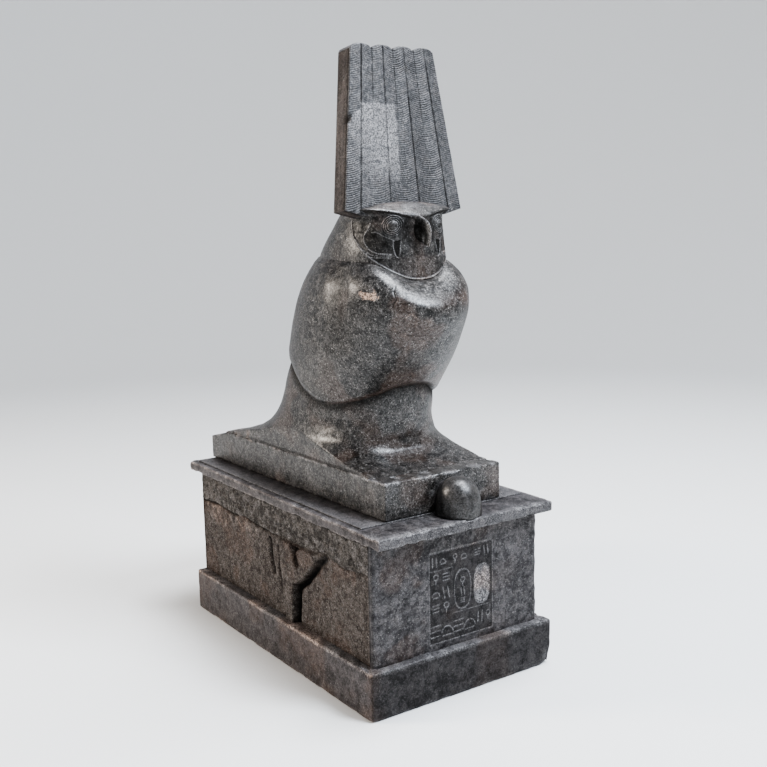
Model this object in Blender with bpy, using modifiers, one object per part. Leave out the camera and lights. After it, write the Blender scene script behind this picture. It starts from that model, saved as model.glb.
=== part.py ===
"""Falcon statue in dark stone: a falcon with a tall plume crown, carved in one with
the low block under its feet, standing on a separate stone pedestal.

The falcon faces -Y and +X is its left side. The origin is under the middle of the
pedestal, at floor level. Lengths are metres.
"""

import math

import bmesh
import bpy
import numpy as np
from mathutils import Matrix, Vector

# Pedestal
PLINTH_WIDTH = 0.340
PLINTH_DEPTH = 0.561
PLINTH_HEIGHT = 0.0715
PLINTH_SETBACK = 0.010        # plinth front behind the slab's front edge
DADO_HEIGHT = 0.1793          # from the plinth to the slab
DADO_SIDE_RECESS = 0.0145     # dado face inside the plinth
DADO_FRONT_RECESS = 0.016
DADO_REAR_RECESS = 0.004
FRIEZE_HEIGHT = 0.0478        # band under the slab, on the sides and the rear
FRIEZE_PROJECTION = 0.002
SLAB_WIDTH = 0.324
SLAB_DEPTH = 0.600
SLAB_THICKNESS = 0.0159
BED_MARGIN = 0.012            # slab left bare beside the raised bed
BED_HEIGHT = 0.002
EDGE_ROUND = 0.0022           # worn edges of the pedestal

# Rounded stub in front of the falcon's block
STUB_RADIUS = 0.0345
STUB_HEIGHT = 0.056
STUB_FULLNESS = 2.5           # 2 is an elliptical dome, more is fuller
STUB_CLEARANCE = 0.0015       # from the stub to the falcon's block
STUB_OFFSET = 0.007           # stub's middle, along X

# Relief on the pedestal's sides, in the plane of the side face
RELIEF_RAISE = 0.005
BRANCH_RAISE = 0.0045         # a little less than the stem
RELIEF_CUT = 0.008
STEM_WIDTH = 0.042
STEM_AXIS = -0.0365           # the stem's middle, along Y
BRANCH_WIDTH = 0.036
BRANCH_REACH = 0.058          # how far the branch leans towards the front
BRANCH_RISE = 0.050
SLOT_WIDTH = 0.010
SLOT_LENGTH = 0.054
SLOT_LEAN = 0.013             # how far each slot's head stands behind its foot
SLOT_PITCH = 0.021            # from the first slot to the second
NEAR_SLOT = 0.009             # first slot's foot behind the stem
NEAR_SLOT_DROP = 0.090        # first slot's foot below the frieze
FAR_SLOT_DROP = 0.070         # second slot's foot below the frieze
GROOVE_WIDTH = 0.016          # dark groove in front of the stem
GROOVE_START = 0.003          # above the plinth

# Inscription panel on the front
PANEL_WIDTH = 0.119
PANEL_HEIGHT = 0.138
PANEL_FOOT = 0.0095           # panel's lower edge above the plinth
PANEL_OFFSET = 0.0045         # panel's middle, along X
LINE_WIDTH = 0.0022
LINE_DEPTH = 0.0016
OVAL_WIDTH = 0.031
OVAL_HEIGHT = 0.0600
OVAL_LEVEL = 0.53             # middle of both ovals, as a share of the panel's height
RING_OVAL = 0.52              # middle of each oval, as a share of the panel's width
BARE_OVAL = 0.83
RULE_LEVEL = 0.275            # level line under the ovals, as a share of the height
STROKES_IN_ROW = 9
ROW_START = 0.09              # first stroke of a row, as a share of the panel's width
ROW_PITCH = 0.102

# Falcon's block
STONE_GAP = 0.0003            # between the two stones
BLOCK_FRONT_WIDTH = 0.215
BLOCK_REAR_WIDTH = 0.236
BLOCK_DEPTH = 0.5245
BLOCK_HEIGHT = 0.0560
BLOCK_FRONT_SETBACK = 0.0715  # block front behind the slab's front edge
TAIL_DROP = 0.0165            # how far the block's rear end falls away
TAIL_SLOPE_RUN = 0.066
DRESSING = 0.0015             # legs and tail stand this far inside the block's sides

# Figure: the falcon from the block's top to the top of its head
FALCON_HEIGHT = 0.4043
AXIS = -0.100                 # vertical axis through the head, along Y
AROUND = 54                   # points in each ring of the figure

# Crown
CROWN_HEIGHT = 0.2312         # along its lean, to the valleys between the plumes
CROWN_FOOT_WIDTH = 0.2125
CROWN_TOP_WIDTH = 0.1500
CROWN_THICKNESS = 0.0350
CROWN_LEAN = math.radians(6.4)
CROWN_SEAT = 0.030            # crown's foot below the head's top, as a share
CROWN_FRONT = -0.136          # crown's front at its foot, from the axis, as a share
PLUMES = 4
PLUME_ARCH = 0.0083           # rise of each rounded plume tip
PLUME_SPREAD = 0.94           # share of a plume's width that is arched
RIB_WIDTH = 0.0030
RIB_DEPTH = 0.0018
RIB_START = 0.0105            # ribs begin this far above the crown's foot
CROWN_TAPER_DROP = 0.008      # the crown's foot tapers in below its widest line
CROWN_TAPER_WIDTH = 0.150

# Rings of the figure, as shares of FALCON_HEIGHT: height above the block, half width,
# front, widest line and back (along Y from AXIS), then how square the front and the
# back halves are (2 is an ellipse).
LEGS_AND_TAIL = (
    (-0.020, 0.372, -0.275, 0.400, 0.868, 4.0, 8.0),
    (0.001, 0.364, -0.268, 0.400, 0.845, 4.4, 8.0),
    (0.009, 0.346, -0.230, 0.400, 0.800, 4.8, 7.5),
    (0.021, 0.322, -0.180, 0.400, 0.755, 4.4, 6.7),
    (0.045, 0.300, -0.139, 0.380, 0.700, 3.6, 3.8),
    (0.078, 0.283, -0.124, 0.350, 0.645, 2.8, 2.8),
    (0.118, 0.271, -0.131, 0.320, 0.606, 2.4, 2.4),
    (0.162, 0.262, -0.136, 0.284, 0.591, 2.2, 2.2),
    (0.211, 0.255, -0.138, 0.235, 0.571, 2.2, 2.3),
    (0.285, 0.249, -0.140, 0.210, 0.545, 2.2, 2.3),
    (0.340, 0.243, -0.142, 0.185, 0.520, 2.2, 2.3),
    (0.400, 0.233, -0.146, 0.150, 0.485, 2.2, 2.3),
)
BREAST_AND_WINGS = (
    (0.195, 0.264, -0.110, 0.222, 0.568, 2.2, 2.2),
    (0.248, 0.268, -0.143, 0.208, 0.564, 2.2, 2.2),
    (0.310, 0.272, -0.190, 0.176, 0.539, 2.2, 2.2),
    (0.434, 0.283, -0.275, 0.109, 0.490, 2.2, 2.2),
    (0.533, 0.286, -0.322, 0.067, 0.453, 2.2, 2.2),
    (0.631, 0.280, -0.349, 0.030, 0.408, 2.2, 2.2),
    (0.693, 0.265, -0.341, 0.012, 0.371, 2.2, 2.2),
    (0.742, 0.237, -0.302, 0.015, 0.339, 2.2, 2.2),
    (0.765, 0.216, -0.264, 0.022, 0.326, 2.2, 2.2),
    (0.778, 0.196, -0.228, 0.030, 0.305, 2.2, 2.2),
    (0.783, 0.172, -0.190, 0.035, 0.270, 2.2, 2.2),
)
# Lower edge of the breast and the wings: height all round, from straight ahead to the
# back, in degrees. It hangs lowest on the flanks.
HEM = (
    (0, 0.286), (18, 0.281), (38, 0.254), (58, 0.208),
    (74, 0.206), (95, 0.255), (125, 0.322), (180, 0.352),
)
HEM_TUCK = 0.030              # how far the skin turns in under the hem
HEAD = (
    (0.650, 0.187, -0.185, 0.040, 0.300, 2.2, 2.2),
    (0.690, 0.207, -0.220, 0.028, 0.318, 2.4, 2.2),
    (0.740, 0.211, -0.222, 0.020, 0.315, 2.5, 2.2),
    (0.780, 0.210, -0.222, 0.012, 0.302, 2.5, 2.2),
    (0.829, 0.203, -0.221, -0.002, 0.262, 2.5, 2.2),
    (0.879, 0.193, -0.218, -0.015, 0.207, 2.5, 2.2),
    (0.915, 0.186, -0.219, -0.027, 0.170, 2.5, 2.2),
    (0.935, 0.187, -0.214, -0.060, 0.152, 2.4, 2.2),
    (0.949, 0.205, -0.198, -0.115, 0.120, 2.3, 2.2),
    (0.965, 0.154, -0.173, -0.120, 0.070, 2.2, 2.2),
    (0.976, 0.087, -0.150, -0.120, -0.020, 2.1, 2.1),
    (0.981, 0.020, -0.132, -0.120, -0.095, 2.0, 2.0),
)
CHIN_DIP = 0.078              # the breast's top edge dips under the chin, as a share
CHIN_DIP_SPREAD = math.radians(26)

# Face, as shares of FALCON_HEIGHT. Angles are degrees from straight ahead.
EYE_HEIGHT = 0.894
EYE_ANGLE = math.radians(29)
EYE_RADIUS = 0.0265
EYE_RIM = 0.0040
EYEBALL = 0.62                # radius of the ball, as a share of the rim's
EYEBALL_SINK = 0.40           # how far its middle lies inside the skin, likewise
FACE_LINE = 0.0034            # radius of the grooves that draw the face
CHEEK = ((58, 0.904), (59, 0.886), (63, 0.858), (61, 0.837), (56, 0.817),
         (49, 0.803), (41, 0.795), (27, 0.792), (22, 0.812), (22, 0.842))
FACE_BORDER = ((86, 0.935), (83, 0.899), (78, 0.863), (72, 0.841), (65, 0.816), (57, 0.794),
               (46, 0.768), (36, 0.748), (25, 0.727), (11, 0.706), (0, 0.700))
BROW = ((84, 0.9487), (48, 0.948), (30, 0.942), (19, 0.933))

# Beak, as shares of FALCON_HEIGHT: how far its ridge stands from the axis, the ridge's
# height, half its width, and the height where that section leaves the face
BEAK = (
    (0.206, 0.945, 0.014, 0.945),
    (0.232, 0.924, 0.019, 0.930),
    (0.264, 0.911, 0.024, 0.912),
    (0.284, 0.888, 0.029, 0.886),
    (0.289, 0.857, 0.030, 0.860),
    (0.284, 0.832, 0.025, 0.842),
    (0.270, 0.820, 0.018, 0.832),
    (0.240, 0.822, 0.016, 0.826),
)
BEAK_ROOT = 0.195             # both flanks end this far from the axis, inside the head
BEAK_SHOULDER = 0.62          # where each flank bends, as a share of the half width
BEAK_SHOULDER_REACH = 0.58    # how far out that bend is, as a share of the ridge's reach

# Levels and places that follow
SLAB_FRONT = -SLAB_DEPTH / 2
PLINTH_FRONT = SLAB_FRONT + PLINTH_SETBACK
DADO_FRONT = PLINTH_FRONT + DADO_FRONT_RECESS
DADO_DEPTH = PLINTH_DEPTH - DADO_FRONT_RECESS - DADO_REAR_RECESS
DADO_HALF_WIDTH = PLINTH_WIDTH / 2 - DADO_SIDE_RECESS
DADO_TOP = PLINTH_HEIGHT + DADO_HEIGHT
FRIEZE_FOOT = DADO_TOP - FRIEZE_HEIGHT
SIDE_FACE = DADO_HALF_WIDTH - FRIEZE_PROJECTION
SLAB_TOP = DADO_TOP + SLAB_THICKNESS
BED_TOP = SLAB_TOP + BED_HEIGHT
BLOCK_FRONT = SLAB_FRONT + BLOCK_FRONT_SETBACK
BLOCK_FOOT = BED_TOP + STONE_GAP
BLOCK_TOP = BLOCK_FOOT + BLOCK_HEIGHT
HEAD_TOP = HEAD[-1][0]
CROWN_FOOT = HEAD_TOP - CROWN_SEAT
STUB_Y = BLOCK_FRONT - STUB_CLEARANCE - STUB_RADIUS


def clear_scene():
    """Remove everything that the scene starts with."""
    for thing in list(bpy.data.objects):
        bpy.data.objects.remove(thing, do_unlink=True)


def new_collection(name):
    collection = bpy.data.collections.new(name)
    bpy.context.scene.collection.children.link(collection)
    return collection


def stone(name, colour, roughness):
    material = bpy.data.materials.new(name)
    material.use_nodes = True
    shader = material.node_tree.nodes["Principled BSDF"]
    shader.inputs["Base Color"].default_value = (*colour, 1.0)
    shader.inputs["Roughness"].default_value = roughness
    shader.inputs["Metallic"].default_value = 0.0
    return material


def place(mesh, name, collection):
    thing = bpy.data.objects.new(name, mesh)
    collection.objects.link(thing)
    return thing


def as_tool(thing):
    """Show a piece that is only joined or cut as a wire."""
    thing.hide_render = True
    thing.display_type = "WIRE"
    return thing


def combine(thing, tool, operation):
    step = thing.modifiers.new(tool.name, "BOOLEAN")
    step.operation = operation
    step.solver = "EXACT"
    step.object = tool


def box_mesh(low, high, name):
    """A box from its lowest to its highest corner."""
    low, high = Vector(low), Vector(high)
    shape = bmesh.new()
    bmesh.ops.create_cube(shape, size=1.0)
    bmesh.ops.scale(shape, vec=high - low, verts=shape.verts)
    bmesh.ops.translate(shape, vec=(low + high) / 2, verts=shape.verts)
    mesh = bpy.data.meshes.new(name)
    shape.to_mesh(mesh)
    shape.free()
    return mesh


def round_edges(thing, radius):
    bevel = thing.modifiers.new("worn edges", "BEVEL")
    bevel.width = radius
    bevel.segments = 2
    bevel.limit_method = "ANGLE"


def loft(rings, name):
    """Skin a stack of rings of equal count, lowest first, and cap both ends."""
    count = len(rings[0])
    shape = bmesh.new()
    rows = [[shape.verts.new(point) for point in ring] for ring in rings]
    for lower, upper in zip(rows, rows[1:]):
        for i in range(count):
            j = (i + 1) % count
            shape.faces.new((lower[i], lower[j], upper[j], upper[i]))
    shape.faces.new(list(reversed(rows[0])))
    shape.faces.new(rows[-1])
    bmesh.ops.recalc_face_normals(shape, faces=shape.faces)
    mesh = bpy.data.meshes.new(name)
    shape.to_mesh(mesh)
    shape.free()
    return mesh


def ring_at(stations, height):
    """Read the ring's sizes at a height, along smooth curves through the stations."""
    table = np.array(stations)
    knots = table[:, 0]
    slopes = np.gradient(table, knots, axis=0)
    i = int(np.clip(np.searchsorted(knots, height) - 1, 0, len(knots) - 2))
    step = knots[i + 1] - knots[i]
    t = (height - knots[i]) / step
    start = (1 + 2 * t) * (1 - t) ** 2 * table[i] + t * (1 - t) ** 2 * step * slopes[i]
    end = t * t * (3 - 2 * t) * table[i + 1] + t * t * (t - 1) * step * slopes[i + 1]
    return start + end


def figure_point(stations, height, angle):
    """A point on the figure's skin. The angle runs from straight ahead (-Y) to +X."""
    _, half, front, widest, back, square_front, square_back = ring_at(stations, height)
    side, ahead = math.sin(angle), math.cos(angle)
    power = 2.0 / (square_front if ahead > 0 else square_back)
    reach = widest - front if ahead > 0 else back - widest
    x = half * math.copysign(abs(side) ** power, side)
    y = widest - reach * math.copysign(abs(ahead) ** power, ahead)
    return Vector((x * FALCON_HEIGHT,
                   AXIS + y * FALCON_HEIGHT,
                   BLOCK_TOP + height * FALCON_HEIGHT))


def levels_of(stations, steps):
    """Heights of the rings: each stretch between two stations in equal steps."""
    heights = [stations[0][0]]
    for low, high in zip(stations, stations[1:]):
        for i in range(1, steps + 1):
            heights.append(low[0] + (high[0] - low[0]) * i / steps)
    return heights


def figure_rings(stations, steps, adjust=None):
    rings = []
    for height in levels_of(stations, steps):
        ring = []
        for i in range(AROUND):
            angle = 2 * math.pi * i / AROUND
            point = figure_point(stations, height, angle)
            ring.append(adjust(point, height, angle) if adjust else point)
        rings.append(ring)
    return rings


def block_half_width(y):
    share = min(max((y - BLOCK_FRONT) / BLOCK_DEPTH, 0.0), 1.0)
    return (BLOCK_FRONT_WIDTH + (BLOCK_REAR_WIDTH - BLOCK_FRONT_WIDTH) * share) / 2


def trim_to_block(point, height, angle):
    """The legs and the tail are dressed down to the block's sides and rear."""
    y = min(point.y, BLOCK_FRONT + BLOCK_DEPTH - DRESSING)
    limit = block_half_width(y) - DRESSING
    return Vector((min(max(point.x, -limit), limit), y, point.z))


def away_from_front(angle):
    """The angle from straight ahead, whichever way round, from 0 to pi."""
    return abs((angle + math.pi) % (2 * math.pi) - math.pi)


def hem_height(angle):
    """Height of the body's lower edge, eased from each value of HEM to the next."""
    degrees = math.degrees(away_from_front(angle))
    for (start, low), (end, high) in zip(HEM, HEM[1:]):
        if degrees <= end:
            t = (degrees - start) / (end - start)
            return low + (high - low) * (1 - math.cos(math.pi * t)) / 2
    return HEM[-1][1]


def chin_dip(height, angle):
    """The breast's top edge hangs lower in front, below the face."""
    grown = min(max((height - 0.60) / 0.16, 0.0), 1.0)
    return CHIN_DIP * grown * math.exp(-(away_from_front(angle) / CHIN_DIP_SPREAD) ** 2)


def breast_rings(steps):
    """The body's skin from its hem up, with one ring tucked in under the hem."""
    lowest, highest = BREAST_AND_WINGS[0][0], BREAST_AND_WINGS[-1][0]
    tucked = []
    rings = [tucked]
    for level in levels_of(BREAST_AND_WINGS, steps):
        share = (level - lowest) / (highest - lowest)
        ring = []
        for i in range(AROUND):
            angle = 2 * math.pi * i / AROUND
            foot = hem_height(angle)
            height = foot + (highest - foot) * share
            dip = chin_dip(height, angle) * FALCON_HEIGHT
            ring.append(figure_point(BREAST_AND_WINGS, height, angle) - Vector((0.0, 0.0, dip)))
            if level == lowest:
                edge = ring[-1]
                inward = Vector((-edge.x, AXIS / 5 - edge.y, 0.0)).normalized()
                tucked.append(edge + inward * HEM_TUCK * FALCON_HEIGHT
                              + Vector((0.0, 0.0, HEM_TUCK * FALCON_HEIGHT / 4)))
        rings.append(ring)
    return rings


def build_block(collection):
    """Block under the falcon: wider at the rear, its rear end falling away."""
    rear = BLOCK_FRONT + BLOCK_DEPTH
    profile = (
        (BLOCK_FRONT, BLOCK_FOOT),
        (rear, BLOCK_FOOT),
        (rear, BLOCK_TOP - TAIL_DROP),
        (rear - TAIL_SLOPE_RUN, BLOCK_TOP),
        (BLOCK_FRONT, BLOCK_TOP),
    )
    sides = []
    for side in (-1, 1):
        sides.append([(side * block_half_width(y), y, z) for y, z in profile])
    return place(loft(sides, "block"), "falcon", collection)


def build_beak(tools):
    """Hooked beak: slanting sections from the face out to the ridge, brow to tip."""
    rings = []
    for reach, height, half, root_height in BEAK:
        bend = BEAK_ROOT + (reach - BEAK_ROOT) * BEAK_SHOULDER_REACH
        bend_height = root_height + (height - root_height) * BEAK_SHOULDER_REACH
        ring = []
        for across, out, up in ((-half, BEAK_ROOT, root_height),
                                (-half * BEAK_SHOULDER, bend, bend_height),
                                (0.0, reach, height),
                                (half * BEAK_SHOULDER, bend, bend_height),
                                (half, BEAK_ROOT, root_height)):
            ring.append((across * FALCON_HEIGHT, AXIS - out * FALCON_HEIGHT,
                         BLOCK_TOP + up * FALCON_HEIGHT))
        rings.append(ring)
    return as_tool(place(loft(rings, "beak"), "beak", tools))


def made_solid(curve, name, collection):
    """Turn a curve into a mesh with its caps welded, so that it can be joined or cut."""
    guide = place(curve, name + " path", collection)
    bpy.context.view_layer.update()
    evaluated = guide.evaluated_get(bpy.context.evaluated_depsgraph_get())
    mesh = bpy.data.meshes.new_from_object(evaluated)
    mesh.name = name
    solid = place(mesh, name, collection)
    solid.matrix_world = guide.matrix_world
    bpy.data.objects.remove(guide, do_unlink=True)
    shape = bmesh.new()
    shape.from_mesh(mesh)
    bmesh.ops.remove_doubles(shape, verts=shape.verts, dist=0.00001)
    bmesh.ops.recalc_face_normals(shape, faces=shape.faces)
    shape.to_mesh(mesh)
    shape.free()
    return as_tool(solid)


def plate(outlines, thickness, name, tools):
    """A flat piece in the XY plane, half its thickness each way. An outline inside
    another is a hole."""
    curve = bpy.data.curves.new(name, "CURVE")
    curve.dimensions = "2D"
    curve.fill_mode = "BOTH"
    curve.extrude = thickness / 2
    for outline in outlines:
        spline = curve.splines.new("POLY")
        spline.points.add(len(outline) - 1)
        for knot, (x, y) in zip(spline.points, outline):
            knot.co = (x, y, 0.0, 1.0)
        spline.use_cyclic_u = True
    return made_solid(curve, name, tools)


def tube(points, radius, name, tools):
    """A thin round bar through the points."""
    curve = bpy.data.curves.new(name, "CURVE")
    curve.dimensions = "3D"
    curve.bevel_depth = radius
    curve.bevel_resolution = 1
    curve.use_fill_caps = True
    spline = curve.splines.new("POLY")
    spline.points.add(len(points) - 1)
    for knot, point in zip(spline.points, points):
        knot.co = (*point, 1.0)
    return made_solid(curve, name, tools)


def eye_frame(side):
    """Place of an eye on the head and the direction it looks in."""
    centre = figure_point(HEAD, EYE_HEIGHT, side * EYE_ANGLE)
    step = 0.02
    across = (figure_point(HEAD, EYE_HEIGHT, side * EYE_ANGLE + step)
              - figure_point(HEAD, EYE_HEIGHT, side * EYE_ANGLE - step))
    upward = (figure_point(HEAD, EYE_HEIGHT + step, side * EYE_ANGLE)
              - figure_point(HEAD, EYE_HEIGHT - step, side * EYE_ANGLE))
    outward = across.cross(upward).normalized()
    return centre, outward


def build_eye(side, tools):
    """Round eyeball inside a raised rim."""
    centre, outward = eye_frame(side)
    turn = outward.to_track_quat("Z", "Y").to_matrix().to_4x4()
    radius = EYE_RADIUS * FALCON_HEIGHT
    rim = EYE_RIM * FALCON_HEIGHT
    name = "eye left" if side > 0 else "eye right"
    bpy.ops.mesh.primitive_torus_add(
        major_radius=radius, minor_radius=rim, major_segments=24, minor_segments=6)
    ring = bpy.context.object
    ring.name = name + " rim"
    ring.matrix_world = Matrix.Translation(centre) @ turn
    shape = bmesh.new()
    bmesh.ops.create_uvsphere(shape, u_segments=16, v_segments=8, radius=radius * EYEBALL)
    mesh = bpy.data.meshes.new(name)
    shape.to_mesh(mesh)
    shape.free()
    ball = place(mesh, name, tools)
    ball.matrix_world = Matrix.Translation(centre - outward * radius * EYEBALL_SINK) @ turn
    for thing in (ring, ball):
        for collection in list(thing.users_collection):
            collection.objects.unlink(thing)
        tools.objects.link(thing)
        as_tool(thing)
    return ring, ball


def face_path(line, side):
    """Points on the head's skin along a line of the face."""
    return [figure_point(HEAD, height, side * math.radians(degrees))
            for degrees, height in line]


def face_tubes(tools):
    """Cutters for the lines of the face: one border under the chin, and the brow and the
    cheek on each side."""
    border = face_path(FACE_BORDER, -1) + face_path(reversed(FACE_BORDER[:-1]), 1)
    lines = [("face border", border)]
    for side, name in ((-1, "right"), (1, "left")):
        lines.append(("brow " + name, face_path(BROW, side)))
        lines.append(("cheek " + name, face_path(CHEEK, side)))
    return [tube(points, FACE_LINE * FALCON_HEIGHT, name, tools) for name, points in lines]


def crown_frame():
    """Stands the crown's drawing plane up on the head, leaning back."""
    foot = Vector((0.0,
                   AXIS + CROWN_FRONT * FALCON_HEIGHT,
                   BLOCK_TOP + CROWN_FOOT * FALCON_HEIGHT))
    return Matrix.Translation(foot) @ Matrix.Rotation(math.pi / 2 - CROWN_LEAN, 4, "X")


def crown_width(height):
    share = height / CROWN_HEIGHT
    return CROWN_FOOT_WIDTH + (CROWN_TOP_WIDTH - CROWN_FOOT_WIDTH) * share


def build_crown(tools):
    """Tall slab of plumes: straight sides that taper upwards and rounded tips."""
    outline = [(-CROWN_FOOT_WIDTH / 2, 0.0),
               (-CROWN_TAPER_WIDTH / 2, -CROWN_TAPER_DROP),
               (CROWN_TAPER_WIDTH / 2, -CROWN_TAPER_DROP),
               (CROWN_FOOT_WIDTH / 2, 0.0)]
    steps = 8
    for plume in reversed(range(PLUMES)):
        for i in range(steps + 1):
            share = 0.5 + PLUME_SPREAD * (0.5 - i / steps)
            across = ((plume + share) / PLUMES - 0.5) * CROWN_TOP_WIDTH
            rise = PLUME_ARCH * math.sqrt(max(1 - (2 * i / steps - 1) ** 2, 0.0))
            outline.append((across, CROWN_HEIGHT + rise))
    crown = plate([outline], CROWN_THICKNESS, "crown", tools)
    crown.matrix_world = crown_frame() @ Matrix.Translation((0.0, 0.0, -CROWN_THICKNESS / 2))
    return crown


def build_rib_cutter(tools):
    """Grooves along each plume's rib and between the plumes, front and rear: bars turned
    onto an edge, so that each cuts a V."""
    shape = bmesh.new()
    lines = []
    for plume in range(PLUMES):
        lines.append(((plume + 0.5) / PLUMES - 0.5, 0.0, 1.0))
    for plume in range(1, PLUMES):
        lines.append((plume / PLUMES - 0.5, 0.0, 1.0))
        lines.append((plume / PLUMES - 0.5, -CROWN_THICKNESS, -1.0))
    reach = CROWN_HEIGHT + 3 * PLUME_ARCH
    lip = RIB_DEPTH / 4
    on_edge = Matrix.Rotation(math.pi / 4, 4, "Y")
    half_diagonal = math.sqrt(0.5)
    for share, depth, outward in lines:
        foot = Vector((share * crown_width(RIB_START), RIB_START, depth))
        head = Vector((share * crown_width(reach), reach, depth))
        run = head - foot
        made = bmesh.ops.create_cube(shape, size=1.0)["verts"]
        bmesh.ops.transform(shape, matrix=on_edge, verts=made)
        size = Vector((RIB_WIDTH / 2 * (1 + lip / RIB_DEPTH) / half_diagonal, run.length,
                       (RIB_DEPTH + lip) / half_diagonal))
        bmesh.ops.scale(shape, vec=size, verts=made)
        middle = (foot + head) / 2 + Vector((0.0, 0.0, outward * lip))
        turn = Matrix.Rotation(-math.atan2(run.x, run.y), 4, "Z")
        bmesh.ops.transform(shape, matrix=Matrix.Translation(middle) @ turn, verts=made)
    mesh = bpy.data.meshes.new("ribs")
    shape.to_mesh(mesh)
    shape.free()
    cutter = place(mesh, "ribs", tools)
    cutter.matrix_world = crown_frame()
    return as_tool(cutter)


def build_falcon(parts, tools):
    falcon = build_block(parts)
    round_edges(falcon, EDGE_ROUND)
    legs = loft(figure_rings(LEGS_AND_TAIL, 2, trim_to_block), "legs and tail")
    breast = loft(breast_rings(2), "breast and wings")
    head = loft(figure_rings(HEAD, 2), "head")
    for mesh in (legs, breast, head):
        combine(falcon, as_tool(place(mesh, mesh.name, tools)), "UNION")
    crown = build_crown(tools)
    combine(crown, build_rib_cutter(tools), "DIFFERENCE")
    combine(falcon, crown, "UNION")
    combine(falcon, build_beak(tools), "UNION")
    for line in face_tubes(tools):
        combine(falcon, line, "DIFFERENCE")
    for side in (-1, 1):
        for piece in build_eye(side, tools):
            combine(falcon, piece, "UNION")
    return falcon


def side_bar(side, start, end, width, depth, name, tools):
    """A bar set in a side face of the dado, from start to end given as (y, z)."""
    start, end = Vector(start), Vector(end)
    run = end - start
    middle = (start + end) / 2
    shape = bmesh.new()
    bmesh.ops.create_cube(shape, size=1.0)
    bmesh.ops.scale(shape, vec=(2 * depth, width, run.length), verts=shape.verts)
    turn = Matrix.Rotation(math.atan2(-run.x, run.y), 4, "X")
    seat = Matrix.Translation((side * SIDE_FACE, middle.x, middle.y))
    bmesh.ops.transform(shape, matrix=seat @ turn, verts=shape.verts)
    mesh = bpy.data.meshes.new(name)
    shape.to_mesh(mesh)
    shape.free()
    return as_tool(place(mesh, name, tools))


def build_relief(pedestal, side, tools):
    """A stem that stands on the plinth, a branch leaning forward, and cut slots."""
    name = "left" if side > 0 else "right"
    fork = FRIEZE_FOOT - BRANCH_RISE
    inner = STEM_AXIS - STEM_WIDTH / 2
    outer = STEM_AXIS + STEM_WIDTH / 2
    raised = (
        ("stem", (STEM_AXIS, PLINTH_HEIGHT / 2), (STEM_AXIS, FRIEZE_FOOT + RELIEF_CUT / 2),
         STEM_WIDTH, RELIEF_RAISE),
        ("branch", (inner + BRANCH_WIDTH / 4, fork),
         (inner - BRANCH_REACH, FRIEZE_FOOT - SLOT_WIDTH / 4), BRANCH_WIDTH, BRANCH_RAISE),
    )
    near = (outer + NEAR_SLOT, FRIEZE_FOOT - NEAR_SLOT_DROP)
    far = (outer + NEAR_SLOT + SLOT_PITCH, FRIEZE_FOOT - FAR_SLOT_DROP)
    groove = inner - GROOVE_WIDTH / 2 - STONE_GAP
    cuts = (
        ("groove", (groove, PLINTH_HEIGHT + GROOVE_START),
         (groove, fork - BRANCH_WIDTH / 2), GROOVE_WIDTH, RELIEF_CUT),
        ("near slot", near, (near[0] + SLOT_LEAN, near[1] + SLOT_LENGTH), SLOT_WIDTH, RELIEF_CUT),
        ("far slot", far, (far[0] + SLOT_LEAN, far[1] + SLOT_LENGTH), SLOT_WIDTH, RELIEF_CUT),
    )
    for bars, operation in ((raised, "UNION"), (cuts, "DIFFERENCE")):
        for kind, start, end, width, depth in bars:
            bar = side_bar(side, start, end, width, depth, kind + " " + name, tools)
            combine(pedestal, bar, operation)


def panel_bar(shape, x, z, width, height, lean=0.0):
    """Add one shallow stroke to the panel's cutter."""
    turn = Matrix.Rotation(lean, 4, "Y")
    size = Vector((width, 2 * LINE_DEPTH, height))
    made = bmesh.ops.create_cube(shape, size=1.0)["verts"]
    bmesh.ops.scale(shape, vec=size, verts=made)
    bmesh.ops.transform(shape, matrix=Matrix.Translation((x, DADO_FRONT, z)) @ turn, verts=made)


def oval_outline(width, height):
    """Upright oval with straight sides, about its own middle."""
    loop = []
    half_turn = 9
    radius = width / 2
    straight = height / 2 - radius
    for end in (1, -1):
        for i in range(half_turn):
            angle = math.pi * i / (half_turn - 1)
            loop.append((end * radius * math.cos(angle),
                         end * (straight + radius * math.sin(angle))))
    return loop


def build_oval(outlines, x, z, name, tools):
    """Stand a flat oval up in the dado's front, half in and half out."""
    oval = plate(outlines, 2 * LINE_DEPTH, name, tools)
    upright = Matrix.Rotation(math.pi / 2, 4, "X")
    oval.matrix_world = Matrix.Translation((x, DADO_FRONT, z)) @ upright
    return oval


def stroke_row(shape, left, level, long_stroke, short_stroke, lean):
    """A row of upright strokes that lean in turn to one side, none and the other."""
    for i in range(STROKES_IN_ROW):
        x = left + PANEL_WIDTH * (ROW_START + ROW_PITCH * i)
        height = PANEL_HEIGHT * (short_stroke if i % 2 else long_stroke)
        panel_bar(shape, x, level, LINE_WIDTH, height, lean * (i % 3 - 1))


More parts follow.
